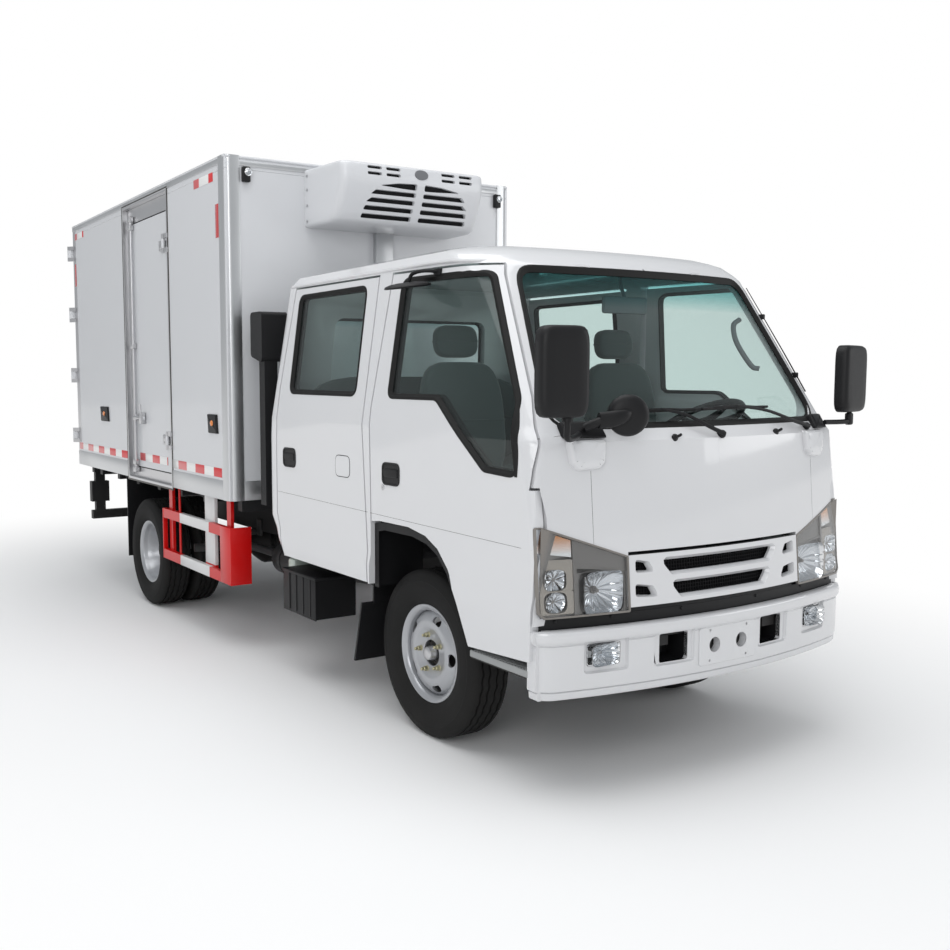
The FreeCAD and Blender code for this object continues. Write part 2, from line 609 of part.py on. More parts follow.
# Chassis
def channel(x_out, side):
    points = [(x_out, RAIL_TOP_Z), (x_out - RAIL_FLANGE, RAIL_TOP_Z), (x_out - RAIL_FLANGE, RAIL_TOP_Z - RAIL_SHEET),
              (x_out - RAIL_SHEET, RAIL_TOP_Z - RAIL_SHEET),
              (x_out - RAIL_SHEET, RAIL_TOP_Z - RAIL_HEIGHT + RAIL_SHEET),
              (x_out - RAIL_FLANGE, RAIL_TOP_Z - RAIL_HEIGHT + RAIL_SHEET),
              (x_out - RAIL_FLANGE, RAIL_TOP_Z - RAIL_HEIGHT), (x_out, RAIL_TOP_Z - RAIL_HEIGHT)]
    return prism_y([(side * x, z) for x, z in points], RAIL_FRONT_Y, RAIL_REAR_Y)


RAIL_INNER = RAIL_HALF - RAIL_SHEET
members = [block(-RAIL_INNER, RAIL_INNER, y - 45, y + 45, RAIL_TOP_Z - 120, RAIL_TOP_Z - 30)
           for y in (-840, 1250, 2050, 2700, 4050, 4820)]
members += [block(x - 30, x + 30, y - 40, y + 40, RAIL_TOP_Z - 1, z - 0.3)
            for x in (-318, 318) for y, z in ((-860, 780), (350, 745), (1250, 745))]
keep("frame_rails", joined([channel(RAIL_HALF, 1), channel(RAIL_HALF, -1)] + members))

sleepers = [block(x, x + 70, BOX_FRONT_Y + 10, RAIL_REAR_Y, RAIL_TOP_Z, 840) for x in (-RAIL_HALF, RAIL_HALF - 70)]
beams = [block(-BOX_HALF + 80, BOX_HALF - 80, y - 30, y + 30, 840.3, BOX_LOW_Z)
         for y in (1780, 2330, 2760, 3190, 3660, 4130, 4600, 4840)]
keep("box_subframe", Part.makeCompound(sleepers + beams))

engine = [block(-230, 230, -420, 300, 450, 930), block(-170, 170, 300, 1080, 440, 700)]
engine += [block(-RAIL_INNER, RAIL_INNER, y - 40, y + 40, 600, 650) for y in (-300, 200, 900)]
prop = [rod((0, 1080, 560), (0, 3140, 420), 42)]
keep("engine_block", joined(engine + prop))

front_beam = [block(-560, 560, -35, 35, 300, 360)]
for x in (-1, 1):
    front_beam.append(block(min(x * 540, x * 620), max(x * 540, x * 620), -30, 30, *AXLE_EYE))
    front_beam.append(rod((x * KINGPIN_X, 0, AXLE_EYE[0]), (x * KINGPIN_X, 0, AXLE_EYE[1]), 34))
    front_beam.append(block(min(x * 300, x * 400), max(x * 300, x * 400), -45, 45, 355, 372))
keep("front_axle", joined(front_beam))


def leaf_spring(x0, x1, y, half, z_middle, z_end, thick):
    count = 10
    top = []
    low = []
    for i in range(count + 1):
        s = -1.0 + 2.0 * i / count
        z = z_middle + (z_end - z_middle) * s * s
        top.append((y + half * s, z + thick))
        low.append((y + half * s, z))
    return prism_x(top + low[::-1], x0, x1)


front_spring = joined([
    leaf_spring(315, 385, 0, 560, 372.3, 470, 30),
    pipe([(315, -560, 490), (385, -560, 490)], 28),
    pipe([(315, 560, 490), (385, 560, 490)], 28),
    block(300, 350, -590, -530, 490, RAIL_TOP_Z - RAIL_HEIGHT),
    block(300, 350, 530, 590, 490, RAIL_TOP_Z - RAIL_HEIGHT),
])
rear_spring = joined([
    leaf_spring(390, 460, WHEELBASE, 610, 440, 520, 45),
    pipe([(388, WHEELBASE - 610, 545), (460, WHEELBASE - 610, 545)], 30),
    pipe([(388, WHEELBASE + 610, 545), (460, WHEELBASE + 610, 545)], 30),
    block(350.3, 388, WHEELBASE - 650, WHEELBASE - 570, 520, 700),
    block(350.3, 388, WHEELBASE + 570, WHEELBASE + 650, 520, 700),
])
keep("leaf_springs", Part.makeCompound([front_spring, mirrored(front_spring), rear_spring, mirrored(rear_spring)]))

AXLE_Z = TYRE_R
rear_tube = joined([
    turned([(-180, 0), (-180, 52), (-115, 115), (-55, 160), (55, 160), (115, 115), (180, 52), (180, 0)],
           0, WHEELBASE, AXLE_Z, 16),
    rod((-700, WHEELBASE, AXLE_Z), (700, WHEELBASE, AXLE_Z), AXLE_R),
    pipe([(0, WHEELBASE - 219, AXLE_Z + 28), (0, WHEELBASE - 100, AXLE_Z + 20)], 60, 12),
    block(395, 455, WHEELBASE - 60, WHEELBASE + 60, AXLE_Z + 20, 439.7),
    block(-455, -395, WHEELBASE - 60, WHEELBASE + 60, AXLE_Z + 20, 439.7),
])
keep("rear_axle", rear_tube)

muffler = joined([
    pipe([(-520, 1300, 500), (-520, 2000, 500)], 100, 16),
    pipe([(-198, 640, 500), (-300, 720, 500), (-420, 1000, 500), (-520, 1310, 500)], 28),
    pipe([(-520, 1990, 500), (-520, 2500, 500), (-880, 2640, 500)], 28),
    block(-540, -350, 1500, 1540, 565, 640),
])
keep("exhaust", muffler)
keep("battery_box", joined([block(-880, -640, 911, 1281, 358, 577), block(-700, -350, 1000, 1040, 600, 640),
                            block(-700, -650, 1000, 1040, 560, 640)]))
keep("fuel_tank", joined([
    prism_y([(440, 420), (860, 420), (860, 720), (440, 720)], 1480, 2250, 60),
    block(350, 460, 1600, 1650, 600, 680), block(350, 460, 2080, 2130, 600, 680)]))

post_x, rail_x, edge_x = GUARD_X
guard = [block(rail_x + RUNNING_GAP, edge_x, 1811, 2975, low, high) for low, high in ((676, 738), (397, 460))]
guard += [block(post_x, rail_x, y, y + width, 397, BOX_LOW_Z) for y, width in ((1860, 60), (2114, 157), (2860, 60))]
keep("side_guards", Part.makeCompound([s for piece in guard for s in (piece, mirrored(piece))]))

under = [block(-925, 925, 4860, 4920, 443, 513)]
for x in (-1, 1):
    under.append(block(min(x * 300, x * 350), max(x * 300, x * 350), 4870, 4910, 500, 760))
    under.append(block(min(x * 786, x * 932), max(x * 786, x * 932), 4850, 4920, 589, 760))
    under.append(block(min(x * 820, x * 900), max(x * 820, x * 900), 4850, 4900, 500, 840))
keep("rear_underrun", joined(under))

liner_path = [(-449.7, 560), (-392, 690), (-308, 820), (-230, 893), (-131, 938), (0, 959.7), (238, 959.7), (312, 945)]
liner_inner = [(y * 0.98, z - 8) for y, z in liner_path]
liner = prism_x(liner_path + liner_inner[::-1], 500, CAB_HALF - CAB_WALL - 8)
flap = prism_x([(440, 541), (430, 541), (500, 241), (514, 241)], 600, 880)
hanger = block(600, FLOOR_HALF, 424, 436, 530, 744.7)
rear_flap = joined([prism_x([(3794, 287), (3804, 287), (3804, BOX_LOW_Z), (3794, BOX_LOW_Z)], 540, 960)])
keep("mudguards", Part.makeCompound([s for piece in (joined([flap, hanger]), liner, rear_flap)
                                     for s in (piece, mirrored(piece))]))
keep("air_intake", joined([
    prism_x([(1490, 1700), (1490, 1985), (1640, 1985), (1640, 1740)], -900, -740, 25),
    block(-880, -800, 1500, 1570, 900, 1720), block(-880, -290, 1500, 1570, 900, 965),
    block(-350, -290, 1500, 1570, RAIL_TOP_Z, 965)]))

# Wheels
WHEEL_SIDES = 24


def tyre(x, y):
    w = TYRE_W / 2.0
    half = [(66, RIM_SEAT_R + 0.5), (74.5, RIM_FLANGE_R + 1), (90, 242), (w, 300), (95, 352), (74, TYRE_R)]
    return turned([(-a, r) for a, r in half] + half[::-1], x, y, TYRE_R, WHEEL_SIDES)


def with_hand_holes(rim, x0, x1, radius, ring):
    """Cuts a ring of five round holes through the disc of a rim that turns about X."""
    for i in range(5):
        hole = turned([(x0, 0), (x0, radius), (x1, radius), (x1, 0)], 0, ring, 0, 10)
        hole.rotate(V(0, 0, 0), V(1, 0, 0), 36 + 72 * i)
        rim = rim.cut(hole)
    return rim


def rim_edge(middle, side):
    """Half of a rim's section from its bead seat over the flange to the inner face, as (x, radius)."""
    w = RIM_W / 2.0
    return [(middle + side * (w - 8), RIM_SEAT_R), (middle + side * w, RIM_FLANGE_R),
            (middle + side * (w - 14), RIM_INNER_R)]


# Rims with their disc and hub, and the rear ones with the brake drum, as outlines of (x, radius) on the left side
RIM_INNER_R = 192.0
TWIN_HALF = TWIN_SPACING / 2.0
FRONT_RIM = rim_edge(0, 1) + [(26, RIM_INNER_R), (48, 140), (48, 76), (84, 70), (84, 0), (70, 0),
                              (70, SPINDLE_R + RUNNING_GAP), (36, SPINDLE_R + RUNNING_GAP), (36, 134), (12, RIM_INNER_R)] + rim_edge(0, -1)[::-1]
REAR_RIM = rim_edge(TWIN_HALF, 1) + [(150, RIM_INNER_R), (10, 128), (10, 76), (120, 70), (120, 0), (-9, 0),
                                     (-9, AXLE_R + RUNNING_GAP), (-200, AXLE_R + RUNNING_GAP), (-200, 138), (-45, 138), (-16, 118), (-10, 118), (-10, 128),
                                     (-112, RIM_INNER_R)] + rim_edge(-TWIN_HALF, -1)[::-1]
REAR_RIM += rim_edge(-TWIN_HALF, 1) + [(-94, RIM_INNER_R), (-2, 140), (2, 140), (132, RIM_INNER_R)]
REAR_RIM += rim_edge(TWIN_HALF, -1)[::-1]
front_rim = with_hand_holes(turned(FRONT_RIM, 0, 0, 0, WHEEL_SIDES), -20, 80, 15, 164)
rear_rim = with_hand_holes(turned(REAR_RIM, 0, 0, 0, WHEEL_SIDES), -100, 150, 14, 161)
front_rim.translate(V(FRONT_WHEEL_X, 0, TYRE_R))
rear_rim.translate(V(REAR_TWIN_X, WHEELBASE, TYRE_R))
tyre_front = tyre(FRONT_WHEEL_X, 0)
tyres_rear = Part.makeCompound([tyre(REAR_TWIN_X + TWIN_HALF, WHEELBASE), tyre(REAR_TWIN_X - TWIN_HALF, WHEELBASE)])
knuckle = joined([
    pipe([(KINGPIN_X, 0, 300), (KINGPIN_X, 0, AXLE_EYE[0] - RUNNING_GAP)], 36, 12),
    pipe([(KINGPIN_X, 0, AXLE_EYE[1] + RUNNING_GAP), (KINGPIN_X, 0, 455)], 36, 12),
    turned([(41, 0), (41, 134), (50, 134), (50, 0)], KINGPIN_X, 0, TYRE_R, 16),
    block(640, 685, -30, 30, 300, 338),
    block(640, 685, -30, 30, 422, 455),
    rod((KINGPIN_X + 49, 0, TYRE_R), (KINGPIN_X + 130, 0, TYRE_R), SPINDLE_R),
])
for name, shape in (("tyre_front", tyre_front), ("rim_front", front_rim), ("knuckle", knuckle),
                    ("tyres_rear", tyres_rear), ("rims_rear", rear_rim)):
    keep(name + "_left", shape)
    keep(name + "_right", mirrored(shape))

# Box body
x0, x1, z0, z1 = BOX_HALF - BOX_WALL, BOX_HALF, BOX_FLOOR_Z, BOX_TOP_Z - BOX_WALL
y0, y1 = BOX_FRONT_Y + BOX_WALL, BOX_REAR_Y - BOX_WALL
hole_y0, hole_y1, hole_z0, hole_z1 = SIDE_HOLE
leaf_y0, leaf_y1, leaf_z0, leaf_z1 = SIDE_LEAF
leaf_x0, leaf_x1 = SIDE_LEAF_X
side_hole = block(-BOX_HALF - 5, -x0, hole_y0, hole_y1, BOX_LOW_Z - 5, hole_z1)
keep("box_floor", block(-x0, x0, y0, y1, BOX_LOW_Z, BOX_FLOOR_Z))
keep("box_front_wall", block(-BOX_HALF, BOX_HALF, BOX_FRONT_Y, y0, BOX_LOW_Z, z1))
keep("box_right_wall", block(-x1, -x0, y0, y1, BOX_LOW_Z, z1).cut(side_hole))
keep("box_left_wall", block(x0, x1, y0, y1, BOX_LOW_Z, z1))
roof = prism_x([(BOX_FRONT_Y, z1), (BOX_FRONT_Y, BOX_TOP_Z), (y1, BOX_TOP_Z), (y1, z1)], -BOX_HALF, BOX_HALF,
               [0, 40, 0, 0])
keep("box_roof", roof.cut(side_hole))
hole_half, hole_low, hole_high = REAR_HOLE
HINGE_ZS = (1150.0, 1650.0, 2150.0, 2650.0)
pin_x, pin_y = BOX_HALF + REAR_PIN_OUT, BOX_REAR_Y + REAR_PIN_OUT
brackets = []
for z in HINGE_ZS:
    for low in (z - 60 - RUNNING_GAP, z + 30 + RUNNING_GAP):
        piece = prism_z([(BOX_HALF - 10, BOX_REAR_Y - 30), (pin_x + 6, pin_y - 10), (pin_x - 6, pin_y + 8),
                         (BOX_HALF - 10, BOX_REAR_Y)], low, low + 30)
        brackets.append(piece.fuse(pipe([(pin_x, pin_y, low), (pin_x, pin_y, low + 30)], HINGE_R - 1)))
post = joined([block(hole_half, BOX_HALF, y1, BOX_REAR_Y, BOX_LOW_Z, BOX_TOP_Z)] + brackets)
bars = [block(-hole_half + 0.3, hole_half - 0.3, y1, BOX_REAR_Y, low, high)
        for low, high in ((BOX_LOW_Z, hole_low), (hole_high, BOX_TOP_Z))]
keep("box_rear_frame", Part.makeCompound([post, mirrored(post)] + bars))

jamb = block(-leaf_x1, -x0, hole_y0, hole_y1, hole_z0, hole_z1)
jamb = jamb.cut(block(-BOX_HALF, 0, leaf_y0 - 12, leaf_y1 + 15, leaf_z0 - 8, leaf_z1 + 8))
keep("side_door_frame", jamb)


def hinge_leaf(z):
    edge = hole_half - 8
    piece = prism_z([(edge - 88, BOX_REAR_Y), (edge, BOX_REAR_Y), (edge, BOX_REAR_Y + 6), (BOX_HALF + 16, BOX_REAR_Y + 6),
                     (pin_x + 6, pin_y - 8), (pin_x - 6, pin_y + 8), (BOX_HALF + 4, BOX_REAR_Y + 14),
                     (edge - 88, BOX_REAR_Y + 12)], z - 30, z + 30)
    return piece.fuse(rod((pin_x, pin_y, z - 30), (pin_x, pin_y, z + 30), HINGE_R))


leaf = block(10, hole_half - 8, y1 + 6, BOX_REAR_Y, hole_low + 8, hole_high - 8)
lock = [pipe([(120, BOX_REAR_Y + 22, hole_low - 40), (120, BOX_REAR_Y + 22, hole_high + 40)], 13)]
lock += [block(100, 140, BOX_REAR_Y, BOX_REAR_Y + 30, z - 20, z + 20)
         for z in (hole_low + 60, 1500, 2100, hole_high - 60)]
lock += [block(120, 330, BOX_REAR_Y + 18, BOX_REAR_Y + 34, 1400, 1425)]
rear_leaf = joined([leaf] + [hinge_leaf(z) for z in HINGE_ZS] + lock)
keep("box_rear_door_left", rear_leaf)
keep("box_rear_door_right", mirrored(rear_leaf))

side_leaf = block(-leaf_x1, -leaf_x0, leaf_y0, leaf_y1, leaf_z0, leaf_z1)
px, py = SIDE_PIN
SIDE_HINGE_ZS = (SIDE_HOLE[2] + 299, SIDE_HOLE[3] - 328)
parts = [side_leaf]
for z in SIDE_HINGE_ZS:
    parts.append(prism_z([(-leaf_x1, leaf_y0 + 60), (-leaf_x1, leaf_y0 + 4), (-px + 6, py - 10), (-px - 8, py + 8),
                          (-leaf_x1 - 14, leaf_y0 + 10), (-leaf_x1 - 12, leaf_y0 + 60)], z - 25, z + 25))
    parts.append(rod((-px, py, z - 30), (-px, py, z + 30), HINGE_R))
lock_y = leaf_y1 - 25
parts.append(pipe([(-leaf_x1 - 18, lock_y, leaf_z0 - 31), (-leaf_x1 - 18, lock_y, leaf_z1 + 37)], 11))
parts += [block(-leaf_x1 - 26, -leaf_x1, lock_y - 15, lock_y + 15, z - 15, z + 15)
          for z in (leaf_z0 + 29, 1850, leaf_z1 - 23)]
parts.append(block(-leaf_x1 - 26, -leaf_x1 - 12, lock_y - 200, lock_y, 1330, 1352))
keep("box_side_door", joined(parts))

side_brackets = []
for z in SIDE_HINGE_ZS:
    for low in (z - 60 - RUNNING_GAP, z + 30 + RUNNING_GAP):
        piece = block(-px - 4, -BOX_HALF, py - 70, py, low, low + 30)
        side_brackets.append(piece.fuse(pipe([(-px, py, low), (-px, py, low + 30)], HINGE_R - 1)))
keep("side_hinges", Part.makeCompound(side_brackets))

# Cooling unit
UNIT_TOP_Z = BOX_TOP_Z - 47
unit = prism_y([(-520, UNIT_TOP_Z), (520, UNIT_TOP_Z), (520, UNIT_TOP_Z - 205), (430, UNIT_TOP_Z - 330),
                (-430, UNIT_TOP_Z - 330), (-520, UNIT_TOP_Z - 205)], 1336, BOX_FRONT_Y, [40, 40, 30, 30, 30, 30])
unit = unit.common(prism_z([(-454, 1336), (454, 1336), (520, BOX_FRONT_Y), (-520, BOX_FRONT_Y)], 2400, 2900,
                           [60, 60, 0, 0]))
unit = unit.fuse(block(-18, 112, BOX_FRONT_Y - 34, BOX_FRONT_Y, 1250, UNIT_TOP_Z - 325))
cooler = prism_y([(-520, z1), (520, z1), (520, z1 - 172), (440, z1 - 232), (-440, z1 - 232), (-520, z1 - 172)],
                 y0, y0 + 260)
keep("reefer_unit", Part.makeCompound([unit, cooler]))

# Output
os.makedirs("parts", exist_ok=True)
boxes = [shape.optimalBoundingBox() for shape in PARTS.values()]
MIDDLE_Y = round((min(b.YMin for b in boxes) + max(b.YMax for b in boxes)) / 2.0)
for name, shape in PARTS.items():
    moved = shape.copy()
    moved.translate(V(0, -MIDDLE_Y, 0))
    moved.exportStep("parts/" + name + ".step")
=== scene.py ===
# Looks of the refrigerated light truck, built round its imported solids
# Positions are in millimetres, in the axes of the part's source: Y = 0 at the front axle
# and Z = 0 on the floor. place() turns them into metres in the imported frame.
import json
from math import acos, asin, atan2, copysign, cos, hypot, pi, radians, sin, sqrt, tan

import bmesh
import bpy
from mathutils import Matrix, Vector


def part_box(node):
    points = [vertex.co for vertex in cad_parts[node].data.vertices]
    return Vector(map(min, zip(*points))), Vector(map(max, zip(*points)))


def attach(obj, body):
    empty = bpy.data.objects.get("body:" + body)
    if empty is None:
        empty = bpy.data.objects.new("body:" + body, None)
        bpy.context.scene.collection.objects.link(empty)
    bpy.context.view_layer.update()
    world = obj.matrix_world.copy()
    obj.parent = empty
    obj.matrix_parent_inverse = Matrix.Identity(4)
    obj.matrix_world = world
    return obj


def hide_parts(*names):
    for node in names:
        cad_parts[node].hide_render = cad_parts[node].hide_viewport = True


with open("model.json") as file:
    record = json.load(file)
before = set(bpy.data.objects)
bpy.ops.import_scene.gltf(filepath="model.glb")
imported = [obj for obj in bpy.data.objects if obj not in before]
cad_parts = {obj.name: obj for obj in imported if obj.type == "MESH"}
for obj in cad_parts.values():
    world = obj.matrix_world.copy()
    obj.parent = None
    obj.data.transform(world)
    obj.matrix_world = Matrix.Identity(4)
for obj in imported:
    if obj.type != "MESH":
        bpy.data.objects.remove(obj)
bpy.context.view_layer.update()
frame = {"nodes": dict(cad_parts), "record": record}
NODES = frame["nodes"]
MIDDLE_Y = -500.0 * (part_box("tyre_front_right")[0].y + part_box("tyre_front_right")[1].y)


def place(point):
    return Vector((point[0] / 1000, (point[1] - MIDDLE_Y) / 1000, point[2] / 1000))


# Sizes shared with the solids
SIDES = ((-1, "right"), (1, "left"))
WHEELBASE = 3360.0
TYRE_R = 380.0
FRONT_WHEEL_X = 710.0
REAR_TWIN_X = 745.0
TWIN_HALF = 117.5
RAIL_HALF = 350.0
BOX_HALF = 1000.0
BOX_FRONT_Y = 1734.0
BOX_REAR_Y = 4960.0
BOX_LOW_Z = 906.0
BOX_TOP_Z = 2872.0
LOW_RAIL_Z, TOP_RAIL_Z = (BOX_LOW_Z, 1020), (BOX_TOP_Z - 46, BOX_TOP_Z - 2)
TAPE_Z = (1036, 1090)
GUARD_Z = (396, 739)
SIDE_DOOR_Y = (2697, 3603)
SILENCER = (-520, 1650, 500)
TOW_X, TOW_Z = 78, 545
BUMPER_FRONT_Y, BUMPER_HALF, BUMPER_BACK_Y, BUMPER_CORNER = -998.0, 887.0, -863.0, 90.0
LAMP_IN, LAMP_BEND, LAMP_OUT, LAMP_LOW, LAMP_BACK_Y = 496.0, 858, 884.0, 719.0, -859.0
CAB_PLAN_R = 3500.0
SCREEN_FOOT_Z, SCREEN_LEAN, PANEL_LEAN = 1424, 0.5, 0.08
FRONT_LINE = [(480, -1000), (700, -985), (1370, -930), (1424, -889), (2068, -500), (2130, -420), (2165, -320),
              (2185, -180)]
REAR_LINE = [(480, 1286), (664, 1286), (864, 1450), (1300, 1450), (2110, 1365), (2165, 1320), (2185, 1190)]
HALF_LINE = [(480, 903), (745, 903), (800, 893), (1400, 893), (2095, 805), (2150, 770), (2185, 635)]
CORNER_LINE = [(480, 35), (1071, 35), (1370, 90), (1424, 120), (2068, 220), (2130, 240), (2185, 240)]
FRONT_WINDOW = [(171, 2052), (197, 1527), (-187, 1525), (-540, 1250), (-745, 1240), (-702, 1520), (-405, 2040)]
FRONT_WINDOW_R = [60, 40, 70, 60, 40, 200, 60]
REAR_WINDOW = [(1184, 2047), (484, 2046), (491, 1532), (1197, 1538)]
SCREEN = [(-657, 2062), (657, 2062), (785, 1424), (-785, 1424)]
BACK_WINDOW = [(-520, 1950), (520, 1950), (540, 1580), (-540, 1580)]
ARCH = [(326, 640), (326, 942), (241, 955), (4, 956), (-130, 934), (-221, 891), (-295, 817), (-374, 684),
        (-448, 540)]


# The cab's surface
def along(line, z):
    for (z0, v0), (z1, v1) in zip(line, line[1:]):
        if z <= z1:
            return v0 + (v1 - v0) * (z - z0) / (z1 - z0)
    return line[-1][1]


def plan(z):
    """Front, half width and front corner radius of the cab at a height, with the corner's centre and start."""
    front, half, corner = along(FRONT_LINE, z), along(HALF_LINE, z), along(CORNER_LINE, z)
    centre_y = front + CAB_PLAN_R - sqrt((CAB_PLAN_R - corner) ** 2 - (half - corner) ** 2)
    start_x = CAB_PLAN_R * (half - corner) / (CAB_PLAN_R - corner)
    return front, half, corner, centre_y, start_x


def front_y(x, z):
    front, half, corner, centre_y, start_x = plan(z)
    if abs(x) <= start_x:
        return front + CAB_PLAN_R - sqrt(CAB_PLAN_R ** 2 - x * x)
    return centre_y - sqrt(max(corner ** 2 - (abs(x) - half + corner) ** 2, 0.0))


def side_x(y, z):
    front, half, corner, centre_y, start_x = plan(z)
    if y >= centre_y:
        return half
    start_y = front + CAB_PLAN_R - sqrt(CAB_PLAN_R ** 2 - start_x ** 2)
    if y >= start_y:
        return half - corner + sqrt(max(corner ** 2 - (centre_y - y) ** 2, 0.0))
    return sqrt(max(CAB_PLAN_R ** 2 - (front + CAB_PLAN_R - y) ** 2, 0.0))


def on_side(sign):
    """Places (y, z, lift) on the cab's side: sign -1 is the truck's right."""
    return lambda y, z, lift: (sign * (side_x(y, z) + lift), y, z)


def on_front(x, z, lift):
    lean = SCREEN_LEAN if z > SCREEN_FOOT_Z else PANEL_LEAN
    return (x, front_y(x, z) - lift * sqrt(1 - lean * lean), z + lift * lean)


def on_front_side(side):
    """Places (distance from the middle, z, lift) on one half of the cab's front."""
    return lambda x, z, lift: on_front(side * x, z, lift)


def on_back(x, z, lift):
    return (x, along(REAR_LINE, z) + lift, z)


def on_plane(axis, value, sign):
    """Places (u, v, lift) on a flat wall across X or Y."""
    if axis == "X":
        return lambda y, z, lift: (value + sign * lift, y, z)
    return lambda x, z, lift: (x, value + sign * lift, z)


# Outlines
EDGE_SHARE, MITRE_LIMIT = 0.45, 0.4


def steps(low, high, count):
    return [low + (high - low) * i / count for i in range(count + 1)]


def turns(count, shift=0.0):
    return [2 * pi * (i + shift) / count for i in range(count)]


def rectangle(u0, u1, v0, v1):
    return [(u0, v0), (u1, v0), (u1, v1), (u0, v1)]


def rounded(points, radii, parts=6):
    count = len(points)
    radii = radii if isinstance(radii, list) else [radii] * count
    path = []
    for i in range(count):
        p0, p1, p2 = (Vector(points[k % count]) for k in (i - 1, i, i + 1))
        a, b = (p0 - p1).normalized(), (p2 - p1).normalized()
        angle = acos(max(-1.0, min(1.0, a.dot(b))))
        if radii[i] <= 0 or abs(angle - pi) < 1e-3:
            path.append(tuple(p1))
            continue
        reach = min(radii[i] / tan(angle / 2), EDGE_SHARE * (p0 - p1).length, EDGE_SHARE * (p2 - p1).length)
        start, end = p1 + a * reach, p1 + b * reach
        path += [tuple((start * (1 - t) + p1 * t) * (1 - t) + (p1 * (1 - t) + end * t) * t)
                 for t in steps(0, 1, parts)]
    return path


def divided(path, step):
    """Closed outline with extra points on its long sides."""
    made = []
    for p, q in zip(path, path[1:] + path[:1]):
        count = max(1, int(hypot(q[0] - p[0], q[1] - p[1]) / step))
        made += [(p[0] + (q[0] - p[0]) * k / count, p[1] + (q[1] - p[1]) * k / count) for k in range(count)]
    return made


def offset(path, distance):
    """Outline moved outwards by the distance."""
    count = len(path)
    area = sum(path[i - 1][0] * path[i][1] - path[i][0] * path[i - 1][1] for i in range(count))
    turn = 1.0 if area > 0 else -1.0
    moved = []
    for i in range(count):
        p0, p1, p2 = (Vector(path[k % count]) for k in (i - 1, i, i + 1))
        a, b = (p1 - p0).normalized(), (p2 - p1).normalized()
        n1 = Vector((a.y, -a.x)) * turn
        n = (n1 + Vector((b.y, -b.x)) * turn).normalized()
        moved.append(tuple(p1 + n * (distance / max(n.dot(n1), MITRE_LIMIT))))
    return moved


def layers(path, section, where):
    """Loops of an outline at each (outwards, lift) of a section."""
    return [[where(u, v, lift) for u, v in offset(path, out)] for out, lift in section]


def smooth_path(points):
    """Points of a smooth curve through the given ones, six to each stretch."""
    pts = [Vector(p) for p in points]
    if len(pts) < 3:
        return pts
    pts = [pts[0] * 2 - pts[1]] + pts + [pts[-1] * 2 - pts[-2]]
    path = []
    for i in range(1, len(pts) - 2):
        p0, p1, p2, p3 = pts[i - 1:i + 3]
        for t in steps(0, 1, 6)[:-1]:
            path.append(0.5 * ((2 * p1) + (p2 - p0) * t + (2 * p0 - 5 * p1 + 4 * p2 - p3) * t * t
                               + (3 * p1 - p0 - 3 * p2 + p3) * t ** 3))
    return path + [pts[-2]]


# Mesh building, with the distance in metres that joins points
WELD = 0.00002


def added(name, data):
    """New object of the scene."""
    made = bpy.data.objects.new(name, data)
    bpy.context.scene.collection.objects.link(made)
    return made


def rounded_edges(piece, width, angle=40, segments=2):
    edge = piece.modifiers.new("Rounded edges", "BEVEL")
    edge.width = width / 1000
    edge.segments = segments
    edge.limit_method = "ANGLE"
    edge.angle_limit = radians(angle)
    return edge


def shaded(mesh, sharp=35.0):
    mesh.shade_smooth()
    mesh.set_sharp_from_angle(angle=radians(sharp))


